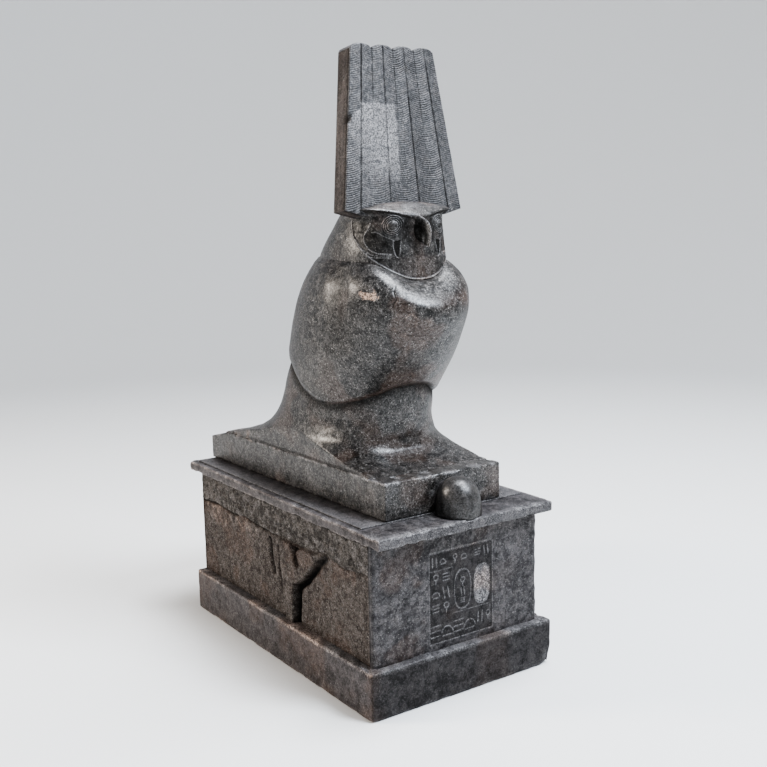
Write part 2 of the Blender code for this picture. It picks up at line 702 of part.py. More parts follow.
def build_panel(pedestal, tools):
    """Framed panel of shallow strokes with two ovals; the strokes are no writing."""
    left = PANEL_OFFSET - PANEL_WIDTH / 2
    foot = PLINTH_HEIGHT + PANEL_FOOT
    shape = bmesh.new()
    middle = foot + PANEL_HEIGHT / 2
    trim = 2.2 * LINE_WIDTH
    for x in (left, left + PANEL_WIDTH):
        panel_bar(shape, x, middle, LINE_WIDTH, PANEL_HEIGHT)
    for z in (foot, foot + PANEL_HEIGHT, foot + PANEL_HEIGHT * RULE_LEVEL):
        panel_bar(shape, PANEL_OFFSET, z, PANEL_WIDTH - trim, LINE_WIDTH)
    stroke_row(shape, left, foot + PANEL_HEIGHT * 0.88, 0.14, 0.09, math.radians(18))
    stroke_row(shape, left, foot + PANEL_HEIGHT * 0.14, 0.13, 0.18, math.radians(-16))
    for i in range(5):
        z = foot + PANEL_HEIGHT * (0.36 + 0.09 * i)
        panel_bar(shape, left + PANEL_WIDTH * 0.18, z, PANEL_WIDTH * (0.20 if i % 2 else 0.14),
                  LINE_WIDTH, math.radians(12) * (i % 3 - 1))
    oval_middle = foot + PANEL_HEIGHT * OVAL_LEVEL
    ring_x = left + PANEL_WIDTH * RING_OVAL
    for i in range(4):
        panel_bar(shape, ring_x, oval_middle + OVAL_HEIGHT * 0.18 * (i - 1.5),
                  OVAL_WIDTH * (0.34 if i % 2 else 0.5), LINE_WIDTH)
    mesh = bpy.data.meshes.new("panel strokes")
    shape.to_mesh(mesh)
    shape.free()
    combine(pedestal, as_tool(place(mesh, mesh.name, tools)), "DIFFERENCE")
    outer = oval_outline(OVAL_WIDTH, OVAL_HEIGHT)
    inner = oval_outline(OVAL_WIDTH - 2 * LINE_WIDTH, OVAL_HEIGHT - 2 * LINE_WIDTH)
    ring = build_oval([outer, inner], ring_x, oval_middle, "oval ring", tools)
    bare = build_oval([outer], left + PANEL_WIDTH * BARE_OVAL, oval_middle, "bare oval", tools)
    for oval in (ring, bare):
        combine(pedestal, oval, "DIFFERENCE")


def build_stub(tools):
    """Round-topped stub: a turned profile, full below and domed above."""
    shape = bmesh.new()
    outline = [(0.0, STUB_HEIGHT)]
    steps = 8
    for i in range(1, steps + 1):
        angle = math.pi / 2 * (1 - i / steps)
        outline.append((STUB_RADIUS * math.cos(angle) ** (2 / STUB_FULLNESS),
                        STUB_HEIGHT * math.sin(angle) ** (2 / STUB_FULLNESS)))
    outline.append((STUB_RADIUS, -SLAB_THICKNESS / 2))
    outline.append((0.0, -SLAB_THICKNESS / 2))
    knots = [shape.verts.new((x, 0.0, z)) for x, z in outline]
    for a, b in zip(knots, knots[1:]):
        shape.edges.new((a, b))
    mesh = bpy.data.meshes.new("stub")
    shape.to_mesh(mesh)
    shape.free()
    stub = place(mesh, "stub", tools)
    stub.location = (STUB_OFFSET, STUB_Y, SLAB_TOP)
    turn = stub.modifiers.new("turn", "SCREW")
    turn.steps = 28
    turn.render_steps = 28
    turn.use_merge_vertices = True
    turn.merge_threshold = 0.00001
    return as_tool(stub)


def build_pedestal(parts, tools):
    half = PLINTH_WIDTH / 2
    pedestal = place(
        box_mesh((-half, PLINTH_FRONT, 0.0),
                 (half, PLINTH_FRONT + PLINTH_DEPTH, PLINTH_HEIGHT), "plinth"),
        "pedestal", parts)
    round_edges(pedestal, EDGE_ROUND)
    deep = SLAB_THICKNESS / 2
    dado_rear = DADO_FRONT + DADO_DEPTH
    bed = SLAB_WIDTH / 2 - BED_MARGIN
    layers = (
        ("dado", (-SIDE_FACE, DADO_FRONT, PLINTH_HEIGHT / 2),
         (SIDE_FACE, dado_rear - FRIEZE_PROJECTION, DADO_TOP + deep), False),
        ("frieze", (-DADO_HALF_WIDTH, DADO_FRONT + EDGE_ROUND, FRIEZE_FOOT),
         (DADO_HALF_WIDTH, dado_rear, DADO_TOP + deep), False),
        ("slab", (-SLAB_WIDTH / 2, SLAB_FRONT, DADO_TOP),
         (SLAB_WIDTH / 2, SLAB_FRONT + SLAB_DEPTH, SLAB_TOP), True),
        ("bed", (-bed, BLOCK_FRONT, SLAB_TOP - deep),
         (bed, SLAB_FRONT + SLAB_DEPTH - BED_MARGIN, BED_TOP), False),
    )
    for name, low, high, worn in layers:
        layer = as_tool(place(box_mesh(low, high, name), name, tools))
        if worn:
            round_edges(layer, EDGE_ROUND)
        combine(pedestal, layer, "UNION")
    combine(pedestal, build_stub(tools), "UNION")
    for side in (-1, 1):
        build_relief(pedestal, side, tools)
    build_panel(pedestal, tools)
    return pedestal


def main():
    clear_scene()
    parts = new_collection("horus falcon statue")
    tools = new_collection("cutters")
    pedestal = build_pedestal(parts, tools)
    falcon = build_falcon(parts, tools)
    pedestal.data.materials.append(stone("pedestal stone", (0.060, 0.055, 0.050), 0.62))
    falcon.data.materials.append(stone("falcon stone", (0.050, 0.047, 0.044), 0.42))
    for thing in (pedestal, falcon):
        thing.data.shade_smooth()
        thing.data.set_sharp_from_angle(angle=math.radians(35))


main()
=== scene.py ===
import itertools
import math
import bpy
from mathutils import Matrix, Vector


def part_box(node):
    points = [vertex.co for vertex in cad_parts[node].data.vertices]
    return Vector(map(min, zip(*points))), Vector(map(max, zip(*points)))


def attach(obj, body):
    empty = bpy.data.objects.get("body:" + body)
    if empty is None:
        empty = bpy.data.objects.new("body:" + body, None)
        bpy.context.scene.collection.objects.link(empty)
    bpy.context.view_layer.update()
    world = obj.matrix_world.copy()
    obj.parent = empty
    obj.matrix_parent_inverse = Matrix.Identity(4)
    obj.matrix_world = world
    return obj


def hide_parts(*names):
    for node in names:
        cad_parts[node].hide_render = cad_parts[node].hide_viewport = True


bl_info = {
    "name": "Falcon Statue Carving",
    "version": (1, 0, 0),
    "blender": (4, 5, 0),
    "location": "3D View > Sidebar > Falcon Statue",
    "description": "Carved skin and worn stone for a standing falcon on its inscribed pedestal",
    "category": "Add Mesh",
}

import bpy
import numpy as np
from bpy.props import FloatProperty, FloatVectorProperty, PointerProperty
from mathutils import Matrix

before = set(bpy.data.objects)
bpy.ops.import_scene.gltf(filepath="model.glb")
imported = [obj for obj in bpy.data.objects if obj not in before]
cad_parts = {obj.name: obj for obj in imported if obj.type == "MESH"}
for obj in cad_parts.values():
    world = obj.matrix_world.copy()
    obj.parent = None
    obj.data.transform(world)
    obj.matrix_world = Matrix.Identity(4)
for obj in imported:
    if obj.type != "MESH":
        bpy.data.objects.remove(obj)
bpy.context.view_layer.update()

# Pedestal, in metres: the overall sizes come from the frame
PEDESTAL_LOW, PEDESTAL_HIGH = (np.array(corner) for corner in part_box("pedestal"))
FALCON_LOW, FALCON_HIGH = (np.array(corner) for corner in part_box("falcon"))
SLAB_FRONT, SLAB_REAR = PEDESTAL_LOW[1], PEDESTAL_HIGH[1]
PLINTH_HALF = PEDESTAL_HIGH[0]
PLINTH_HEIGHT = 0.0715
PLINTH_FRONT = SLAB_FRONT + 0.010
PLINTH_REAR = PLINTH_FRONT + 0.561
DADO_HALF = PLINTH_HALF - 0.0145
DADO_FRONT = PLINTH_FRONT + 0.016
DADO_REAR = PLINTH_REAR - 0.004
DADO_TOP = PLINTH_HEIGHT + 0.1793
FRIEZE_HEIGHT = 0.0478
FRIEZE_PROJECTION = 0.002
SLAB_HALF = 0.162
SLAB_TOP = DADO_TOP + 0.0159
BED_MARGIN = 0.012
BED_TOP = SLAB_TOP + 0.002
EDGE_ROUND = 0.0022
PLINTH_ROUND = 0.003
BED_ROUND = 0.0009
STUB_RADIUS = 0.0345
STUB_HEIGHT = 0.0560
STUB_FULLNESS = 2.5
STUB_CENTRE = (0.007, -0.2645)
FRONT_FACING = 0.008          # thickness of the inscribed front, a skin over the dado

# Relief on the sides, as outlines and lines of (along Y, up): a stem that narrows to its
# foot, a branch that leans to the front, dark grooves beside them, and upright slots
RELIEF_RAISE = 0.008
RELIEF_CUT = 0.0075
STEM = ((-0.017, 0.206), (-0.020, 0.172), (-0.024, 0.138), (-0.035, 0.068),
        (-0.057, 0.068), (-0.060, 0.113), (-0.066, 0.173), (-0.067, 0.206))
BRANCH = ((-0.066, 0.190), (-0.082, 0.199), (-0.112, 0.206), (-0.150, 0.206),
          (-0.118, 0.176), (-0.087, 0.148), (-0.066, 0.134), (-0.058, 0.150))
FOOT_GROOVE = ((-0.0635, 0.068), (-0.0660, 0.100), (-0.0680, 0.132))
BRANCH_GROOVE = ((-0.0680, 0.132), (-0.0900, 0.146), (-0.1220, 0.174), (-0.1500, 0.199))
SLOTS = (((0.022, 0.186), (0.018, 0.158), (0.013, 0.136)),
         ((-0.006, 0.180), (-0.010, 0.150), (-0.016, 0.118)),
         ((-0.0600, 0.196), (-0.0680, 0.184), (-0.0740, 0.172)))
SLOT_HALF = 0.0060

# Panel on the front
PANEL_WIDTH = 0.119
PANEL_HEIGHT = 0.138
PANEL_FOOT = PLINTH_HEIGHT + 0.0095
PANEL_MIDDLE = 0.0045
OVAL_WIDTH = 0.031
OVAL_HEIGHT = 0.060
OVAL_LEVEL = 0.53             # middle of both ovals, as a share of the panel's height
RING_OVAL = 0.52              # middle of each oval, as a share of the panel's width
BARE_OVAL = 0.83

# Falcon
BLOCK_FRONT, BLOCK_REAR = FALCON_LOW[1], FALCON_HIGH[1]
BLOCK_FOOT = FALCON_LOW[2]
BLOCK_TOP = BLOCK_FOOT + 0.0560
BLOCK_FRONT_WIDTH = 0.215
BLOCK_REAR_WIDTH = 0.236
TAIL_DROP = 0.0165
TAIL_SLOPE_RUN = 0.066
DRESSING = 0.0015
FIGURE = 0.4043               # feet to the top of the head
AXIS = -0.100                 # upright axis through the head, along Y

# Crown
CROWN_HEIGHT = 0.2312
CROWN_FOOT_WIDTH = 0.2125
CROWN_TOP_WIDTH = 0.1500
CROWN_THICKNESS = 0.0350
CROWN_LEAN = math.radians(6.4)
CROWN_FOOT = 0.951
CROWN_FRONT = -0.136
CROWN_TAPER_DROP = 0.008
CROWN_TAPER_WIDTH = 0.150
CROWN_ROUND = 0.0022
PLUMES = 4
PLUME_ARCH = 0.0083
PATCH_TOP, PATCH_LEFT, PATCH_RIGHT = 0.1535, -0.066, -0.0045
NOTCH_LEVEL = 0.130

# Rings of the figure as shares of FIGURE: height above the block, half width, front,
# widest line and back along Y from AXIS, then how square the front and the back are
LEGS_AND_TAIL = (
    (-0.020, 0.372, -0.275, 0.400, 0.868, 4.0, 8.0),
    (0.001, 0.364, -0.268, 0.400, 0.845, 4.4, 8.0),
    (0.009, 0.346, -0.230, 0.400, 0.800, 4.8, 7.5),
    (0.021, 0.322, -0.180, 0.400, 0.755, 4.4, 6.7),
    (0.045, 0.300, -0.139, 0.380, 0.700, 3.6, 3.8),
    (0.078, 0.283, -0.124, 0.350, 0.645, 2.8, 2.8),
    (0.118, 0.271, -0.131, 0.320, 0.606, 2.4, 2.4),
    (0.162, 0.262, -0.136, 0.284, 0.591, 2.2, 2.2),
    (0.211, 0.255, -0.138, 0.235, 0.571, 2.2, 2.3),
    (0.285, 0.249, -0.140, 0.210, 0.545, 2.2, 2.3),
    (0.340, 0.243, -0.142, 0.185, 0.520, 2.2, 2.3),
    (0.400, 0.233, -0.146, 0.150, 0.485, 2.2, 2.3),
)
BREAST_AND_WINGS = (
    (0.195, 0.264, -0.110, 0.222, 0.568, 2.2, 2.2),
    (0.248, 0.268, -0.143, 0.208, 0.564, 2.2, 2.2),
    (0.310, 0.272, -0.190, 0.176, 0.539, 2.2, 2.2),
    (0.434, 0.283, -0.275, 0.109, 0.490, 2.2, 2.2),
    (0.533, 0.286, -0.322, 0.067, 0.453, 2.2, 2.2),
    (0.631, 0.280, -0.349, 0.030, 0.408, 2.2, 2.2),
    (0.693, 0.265, -0.341, 0.012, 0.371, 2.2, 2.2),
    (0.742, 0.237, -0.302, 0.015, 0.339, 2.2, 2.2),
    (0.765, 0.216, -0.264, 0.022, 0.326, 2.2, 2.2),
    (0.778, 0.196, -0.228, 0.030, 0.305, 2.2, 2.2),
    (0.783, 0.172, -0.190, 0.035, 0.270, 2.2, 2.2),
)
HEAD = (
    (0.650, 0.187, -0.185, 0.040, 0.300, 2.2, 2.2),
    (0.690, 0.207, -0.220, 0.028, 0.318, 2.4, 2.2),
    (0.740, 0.211, -0.222, 0.020, 0.315, 2.5, 2.2),
    (0.780, 0.210, -0.222, 0.012, 0.302, 2.5, 2.2),
    (0.829, 0.203, -0.221, -0.002, 0.262, 2.5, 2.2),
    (0.879, 0.193, -0.218, -0.015, 0.207, 2.5, 2.2),
    (0.915, 0.186, -0.219, -0.027, 0.170, 2.5, 2.2),
    (0.935, 0.187, -0.214, -0.060, 0.152, 2.4, 2.2),
    (0.949, 0.205, -0.198, -0.115, 0.120, 2.3, 2.2),
    (0.965, 0.154, -0.173, -0.120, 0.070, 2.2, 2.2),
    (0.976, 0.087, -0.150, -0.120, -0.020, 2.1, 2.1),
    (0.981, 0.020, -0.132, -0.120, -0.095, 2.0, 2.0),
)
# Lower edge of the breast and wings: degrees from straight ahead, height as a share
HEM = (
    (0, 0.292), (15, 0.283), (28, 0.256), (42, 0.230), (58, 0.213), (74, 0.217),
    (86, 0.243), (103, 0.297), (125, 0.340), (180, 0.352),
)
# Dip of the body's rim under the chin
CHIN_DIP = 0.083              # as a share of FIGURE
CHIN_DIP_SPREAD = 40.0        # degrees to each side
CHIN_DIP_POWER = 2.5          # the higher, the flatter in the middle
# Hollow between wing and breast: its middle lies at HOLLOW_AT degrees at HOLLOW_LEVEL and
# comes forward going down, by HOLLOW_LEAN degrees over a whole FIGURE
HOLLOW_LEVEL = 0.74
HOLLOW_AT = 81.0
HOLLOW_LEAN = 52.0
HOLLOW_SPREAD = 12.0          # half width in degrees
BREAST_SCALE = 0.0020         # metres along the skin for one degree, at the breast
# Marks on the breast, as (degrees, share)
CRACK = ((-34, 0.724), (-36, 0.700), (-34, 0.672), (-36, 0.650), (-35, 0.630))
BROKEN_SPOT = (-52.5, 0.661)
SCRATCHES = (((-56, 0.622), (-53, 0.608)), ((-44, 0.620), (-42, 0.600)),
             ((-23, 0.632), (-19, 0.612)), ((-24, 0.628), (-26, 0.606)))

# Lines of the face: (degrees from straight ahead, height as a share), the same both sides
EYE = (29.0, 0.894)
EYE_HALF_WIDTH = 0.0122
EYE_HALF_HEIGHT = 0.0106
CHEEK_LOOP = ((58, 0.904), (59, 0.886), (63, 0.858), (61, 0.837), (56, 0.817),
              (49, 0.803), (41, 0.795), (28, 0.792))
CHEEK_UNDER = ((60, 0.802), (52, 0.793), (43, 0.788), (30, 0.787))
CHEEK_LOWER = ((56, 0.786), (48, 0.782), (40, 0.781), (31, 0.781))
CHEEK_TOP = ((54, 0.871), (47, 0.870), (39, 0.858), (31, 0.848), (25, 0.839))
TEAR_BACK = ((27, 0.841), (26, 0.812), (23, 0.786), (20, 0.779))
TEAR_FRONT = ((18, 0.842), (19, 0.805), (20, 0.780))
FACE_BORDER = ((86, 0.952), (86, 0.938), (83, 0.899), (78, 0.863), (72, 0.841), (65, 0.816),
               (57, 0.794), (46, 0.768), (36, 0.748), (25, 0.727), (11, 0.706), (0, 0.700))
BORDER_TWIN = ((69, 0.826), (63, 0.812), (53, 0.797))
BROW = ((87, 0.949), (48, 0.948), (30, 0.942), (17, 0.932), (6, 0.923), (0, 0.920))
FACE_SCALE = 0.00125          # metres along the skin for one degree, at the eyes

# Beak, from the brow to the hooked tip and back under it: distance of the ridge from the
# axis, its height, half width, and the height where that section leaves the face
BEAK_ROOT = 0.195
BEAK_RIDGE = (
    (0.196, 0.938, 0.012, 0.938), (0.232, 0.924, 0.018, 0.930), (0.264, 0.911, 0.024, 0.912),
    (0.284, 0.888, 0.027, 0.886), (0.289, 0.857, 0.025, 0.864), (0.282, 0.831, 0.018, 0.850),
    (0.271, 0.815, 0.010, 0.848), (0.255, 0.834, 0.012, 0.846), (0.232, 0.840, 0.013, 0.842),
)

# Steps of each grid: round and up, unless it says otherwise
BREAST_STEPS = (464, 150)
LEG_STEPS = (390, 64, 80)     # round, up below the flare, and up above it
LEG_FLARE = 0.045             # height of the flare as a share of FIGURE
HEAD_STEPS = (396, 184)
HEAD_FRONT_WEIGHT = 2.4       # steps ahead are this many times as close as those behind
BEAK_STEPS = (57, 12)         # over the ridge and along the back
CROWN_STEPS = (160, 40, 8)    # across the front, across the back, along a side
CROWN_ROWS = 430
STUB_STEPS = (120, 48)
# Dressed blocks: metres between rings up a side, rings over the top, metres round a ring
BLOCK_GRID = (0.0022, 26, 0.0030)
PLINTH_GRID = (0.0035, 9, 0.0040)
SLAB_GRID = (0.0020, 18, 0.0036)
BED_GRID = (0.0010, 6, 0.0080)
SPAN_STEPS = 8                # along one span of a smooth line
CORNER_STEPS = 6              # round one upright corner of a dressed block
EDGE_STEPS = 4                # round its lower or upper edge
DADO_STEP = 0.0025            # metres round the dado
DADO_ROWS = 98
PANEL_STEPS = 182             # across the panel
BESIDE_PANEL_STEPS = 44       # from the panel to each side of the front
FRONT_ROWS = 214

# Finishes of the stone: tones of its dark and light grains, strength of the pale specks,
# roughness, depth of the grain, gloss, and share of broad mottling among the grains
FINISHES = {
    "polished falcon stone": {
        "dark": (0.0040, 0.0036, 0.0033), "light": (0.031, 0.0278, 0.0255),
        "speckle": 0.90, "polish": 0.34, "grain": 0.26, "sheen": 0.80, "patchy": 0.20},
    "crown stone": {
        "dark": (0.034, 0.034, 0.0355), "light": (0.088, 0.087, 0.091),
        "speckle": 0.60, "polish": 0.46, "grain": 0.40, "sheen": 0.34, "patchy": 0.20},
    "tooled pedestal stone": {
        "dark": (0.0100, 0.0088, 0.0076), "light": (0.090, 0.080, 0.071),
        "speckle": 0.60, "polish": 0.60, "grain": 0.80, "sheen": 0.20, "patchy": 0.34},
    "dressed pedestal stone": {
        "dark": (0.0125, 0.0115, 0.0122), "light": (0.066, 0.0610, 0.0650),
        "speckle": 0.40, "polish": 0.42, "grain": 0.45, "sheen": 0.34, "patchy": 0.46},
    "smooth stub stone": {
        "dark": (0.012, 0.0112, 0.0106), "light": (0.030, 0.028, 0.027),
        "speckle": 0.25, "polish": 0.36, "grain": 0.16, "sheen": 0.75, "patchy": 0.20},
}
# How fine each noise of the stone is, in cells per metre
CLOUDS, MOTTLE, GRAINS, CRYSTALS, HAIRS = 9.0, 85.0, 290.0, 480.0, 150.0
# Shares of the noises in the mix: grains and mottling together, and clouds
GRAIN_SHARE = 0.88
CLOUD_SHARE = 0.12
# Painted shade in cuts, hollows and under things, and rubbed stone that also carries painted highlights
SHADE_TONE = (0.006, 0.0055, 0.005)
SHADE_ROUGHNESS = 0.75
SHADE_SHEEN = 0.03
RUBBED_AND_HIGHLIGHT_ROUGHNESS = 0.65
GRAIN_HEIGHT = 0.0012         # relief of the grains, in metres


def between(low, high, value):
    """Rises smoothly from 0 at low to 1 at high: 3t^2 - 2t^3."""
    t = np.clip((value - low) / (high - low), 0.0, 1.0)
    return t * t * (3.0 - 2.0 * t)


def bump(distance, reach):
    """1 on a line and 0 beyond its reach: (1 - (d/reach)^2)^2."""
    return np.clip(1.0 - (distance / reach) ** 2, 0.0, 1.0) ** 2


def lattice_value(cell, seed):
    """A fixed pseudo-random value from -1 to 1 at whole-number lattice points."""
    x, y, z = (cell[..., i].astype(np.uint32) for i in range(3))
    mixed = x * np.uint32(374761393) + y * np.uint32(668265263)
    mixed = mixed + z * np.uint32(2246822519) + np.uint32(seed * 3266489)
    mixed = (mixed ^ (mixed >> np.uint32(13))) * np.uint32(1274126177)
    mixed = mixed ^ (mixed >> np.uint32(16))
    return mixed.astype(np.float64) / 2147483647.5 - 1.0


def noise(points, size, seed):
    """Value noise from -1 to 1: lattice values blended by smoothstep, cells size across."""
    scaled = points / size
    cell = np.floor(scaled)
    t = scaled - cell
    t = t * t * (3.0 - 2.0 * t)
    cell = cell.astype(np.int64)
    total = np.zeros(points.shape[:-1])
    for corner in itertools.product((0, 1), repeat=3):
        weight = np.prod(np.where(np.array(corner) == 1, t, 1.0 - t), axis=-1)
        total += weight * lattice_value(cell + np.array(corner), seed)
    return total


def cloud(points, size, octaves, seed):
    """Fractal noise: each octave half the size and half the strength of the last."""
    total = np.zeros(points.shape[:-1])
    strength = 0.5
    for octave in range(octaves):
        total += strength * noise(points, size / 2 ** octave, seed + 7 * octave)
        strength /= 2
    return total


def patches(low, high, points, size, octaves, seed):
    """Soft patches: 0 where the fractal noise is under low and 1 where it is over high."""
    return between(low, high, cloud(points, size, octaves, seed))


def stacked(*parts):
    """Arrays or single numbers side by side along a new last axis, such as x, y, z."""
    return np.stack(np.broadcast_arrays(*parts), axis=-1)


def through(knots):
    """A smooth line through a few points: Catmull-Rom spans of SPAN_STEPS steps."""
    knots = np.array(knots, dtype=float)
    ends = np.vstack((2 * knots[0] - knots[1], knots, 2 * knots[-1] - knots[-2]))
    t = np.linspace(0.0, 1.0, SPAN_STEPS, endpoint=False)[:, None]
    spans = []
    for a, b, c, d in zip(ends, ends[1:], ends[2:], ends[3:]):
        spans.append(0.5 * (2 * b + (c - a) * t + (2 * a - 5 * b + 4 * c - d) * t ** 2
                            + (3 * b - a - 3 * c + d) * t ** 3))
    return np.vstack(spans + [knots[-1:]])


def line_distance(points, line):
    """Distance in the plane from each point (..., 2) to a line of straight spans."""
    nearest = np.full(points.shape[:-1], np.inf)
    for start, end in zip(line, line[1:]):
        span = end - start
        length = max(float(span @ span), 1e-12)
        t = np.clip(((points - start) @ span) / length, 0.0, 1.0)
        gap = points - start - t[..., None] * span
        nearest = np.minimum(nearest, np.sqrt((gap ** 2).sum(axis=-1)))
    return nearest


def inside(points, outline):
    """True where a point lies inside the closed outline, by counting crossings."""
    x, y = points[..., 0], points[..., 1]
    crossings = np.zeros(x.shape, dtype=bool)
    for (ax, ay), (bx, by) in zip(outline, np.roll(outline, -1, axis=0)):
        if ay != by:
            spans = (ay > y) != (by > y)
            crossings ^= spans & (x < ax + (bx - ax) * (y - ay) / (by - ay))
    return crossings


def station_sizes(stations, height):
    """Sizes of the rings at the given heights, along Hermite curves through the stations."""
    table = np.array(stations)
    knots = table[:, 0]
    slopes = np.gradient(table, knots, axis=0)
    i = np.clip(np.searchsorted(knots, height) - 1, 0, len(knots) - 2)
    step = (knots[i + 1] - knots[i])[..., None]
    t = (height - knots[i])[..., None] / step
    start = (1 + 2 * t) * (1 - t) ** 2 * table[i] + t * (1 - t) ** 2 * step * slopes[i]
    end = t * t * (3 - 2 * t) * table[i + 1] + t * t * (t - 1) * step * slopes[i + 1]
    return start + end


def figure_skin(stations, height, angle):
    """Superellipse rings: x = half |sin|^p, y = widest - reach |cos|^p, signs kept."""
    sizes = station_sizes(stations, height)
    half, front, widest, back, square_front, square_back = (
        sizes[..., i] for i in range(1, 7))
    side, ahead = np.sin(angle), np.cos(angle)
    power = 2.0 / np.where(ahead > 0, square_front, square_back)
    reach = np.where(ahead > 0, widest - front, back - widest)
    x = half * np.sign(side) * np.abs(side) ** power
    y = widest - reach * np.sign(ahead) * np.abs(ahead) ** power
    return stacked(x * FIGURE, AXIS + y * FIGURE, BLOCK_TOP + height * FIGURE)


def spread_angles(stations, heights, count, front_weight=1.0):
    """Ring angles at even steps of length, with front_weight times as many ahead."""
    fine = np.linspace(-np.pi, np.pi, 1441)
    grid = np.broadcast_to(fine, (len(heights), len(fine)))
    levels = np.broadcast_to(heights[:, None], grid.shape)
    skin = figure_skin(stations, levels, grid)
    steps = np.sqrt((np.diff(skin, axis=1) ** 2).sum(axis=-1))
    middle = (fine[1:] + fine[:-1]) / 2
    steps = steps * (1.0 + (front_weight - 1.0) * between(-0.2, 0.4, np.cos(middle)))
    run = np.concatenate((np.zeros((len(heights), 1)), np.cumsum(steps, axis=1)), axis=1)
    wanted = np.arange(count) / count
    return np.array([np.interp(wanted * row[-1], row, fine) for row in run])


def figure_grid(stations, heights, count, front_weight=1.0):
    """Angles, levels and points of the rings through the stations at the given heights."""
    angle = spread_angles(stations, heights, count, front_weight)
    level = np.broadcast_to(heights[:, None], angle.shape)
    return angle, level, figure_skin(stations, level, angle)


def pushed(skin, lift):
    """The stack of rings with each point moved by its lift along its unit normal, which
    is the cross product of the steps round the ring and up."""
    around = np.roll(skin, -1, axis=1) - np.roll(skin, 1, axis=1)
    normal = np.cross(around, np.gradient(skin, axis=0))
    normal /= np.maximum(np.linalg.norm(normal, axis=-1, keepdims=True), 1e-12)
    return skin + normal * lift[..., None]


def grid_faces(rows, columns, closed=True):
    """Quads between neighbouring rows and columns, facing out on a ring that runs
    anticlockwise seen from above."""
    index = np.arange(rows * columns).reshape(rows, columns)
    right = np.roll(index, -1, axis=1)
    if not closed:
        index, right = index[:, :-1], right[:, :-1]
    quads = stacked(index[:-1], right[:-1], right[1:], index[1:])
    return quads.reshape(-1, 4)


def smooth_mesh(name, points, faces):
    """A smoothly shaded mesh from whole arrays."""
    mesh = bpy.data.meshes.new(name)
    mesh.from_pydata(points.reshape(-1, 3), [], faces)
    mesh.update()
    mesh.shade_smooth()
    return mesh


def add_object(name, data):
    """An object for the data, linked to the scene."""
    thing = bpy.data.objects.new(name, data)
    bpy.context.scene.collection.objects.link(thing)
    return thing


def add_piece(name, points, faces, finish, fields):
    """A mesh object from whole arrays, with a value for each field at each point."""
    mesh = smooth_mesh(name, points, faces)
    for field in ("wear_and_highlight", "shade", "warm"):
        values = np.zeros(len(mesh.vertices), dtype=np.float32)
        if field in fields:
            values[:fields[field].size] = np.clip(fields[field], 0.0, 1.0).ravel()
        layer = mesh.attributes.new(field, "FLOAT", "POINT")
        layer.data.foreach_set("value", values)
    mesh.materials.append(stone_finish(finish))
    return add_object(name, mesh)


def add_tower(name, points, finish, fields):
    """A stack of closed rings, lowest first, each end closed on a point in its middle."""
    rows, columns = points.shape[:2]
    faces = grid_faces(rows, columns).tolist()
    foot, top = rows * columns, rows * columns + 1
    around = np.arange(columns)
    beside = np.roll(around, -1)
    faces += stacked(beside, around, foot).tolist()
    last = (rows - 1) * columns
    faces += stacked(around + last, beside + last, top).tolist()
    ends = np.stack((points[0].mean(axis=0), points[-1].mean(axis=0)))
    return add_piece(name, np.vstack((points.reshape(-1, 3), ends)), faces, finish, fields)


def joined_to(piece, node):
    """The piece stands for the node, which it hides, and moves with the one body."""
    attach(piece, "root")
    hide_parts(node)


def of_falcon(piece):
    """The piece belongs to the falcon."""
    joined_to(piece, "falcon")


def of_pedestal(piece):
    """The piece belongs to the pedestal."""
    joined_to(piece, "pedestal")


# Stone


def add_node(tree, kind, place, **values):
    """A shader node at a place in the tree, with its named inputs set."""
    node = tree.nodes.new(kind)
    node.location = place
    for name, value in values.items():
        node.inputs[name.replace("_", " ")].default_value = value
    return node


def noise_node(tree, coordinates, scale, detail, roughness, place):
    """Noise at the coordinates, as a grey value."""
    node = add_node(tree, "ShaderNodeTexNoise", place,
                    Scale=scale, Detail=detail, Roughness=roughness)
    tree.links.new(coordinates, node.inputs["Vector"])
    return node.outputs["Fac"]


def ramp_node(tree, factor, stops, place):
    """A ramp through (position, grey) stops."""
    node = tree.nodes.new("ShaderNodeValToRGB")
    node.location = place
    ramp = node.color_ramp
    while len(ramp.elements) < len(stops):
        ramp.elements.new(0.5)
    for element, (position, grey) in zip(ramp.elements, stops):
        element.position = position
        element.color = (grey, grey, grey, 1.0)
    tree.links.new(factor, node.inputs["Fac"])
    return node.outputs["Color"]


def mix_node(tree, factor, first, second, place):
    """Mix of two colours; each input is a socket or a fixed value."""
    node = tree.nodes.new("ShaderNodeMix")
    node.data_type = "RGBA"
    node.location = place
    for socket, value in zip((node.inputs[0], node.inputs[6], node.inputs[7]),
                             (factor, first, second)):
        if isinstance(value, bpy.types.NodeSocket):
            tree.links.new(value, socket)
        elif hasattr(value, "__len__"):
            socket.default_value = (*value, 1.0)
        else:
            socket.default_value = value
    return node.outputs[2]


def math_node(tree, operation, first, second, place):
    """A sum or product; each input is a socket or a number."""
    node = tree.nodes.new("ShaderNodeMath")
    node.operation = operation
    node.location = place
    for socket, value in zip(node.inputs, (first, second)):
        if isinstance(value, bpy.types.NodeSocket):
            tree.links.new(value, socket)
        else:
            socket.default_value = value
    return node.outputs[0]


def multiplied(tree, first, second, place):
    """The product of two sockets or numbers."""
    return math_node(tree, "MULTIPLY", first, second, place)


def field_node(tree, name, place):
    """One of the piece's own fields, as a grey value."""
    node = tree.nodes.new("ShaderNodeAttribute")
    node.attribute_type = "GEOMETRY"
    node.attribute_name = name
    node.location = place
    return node.outputs["Fac"]


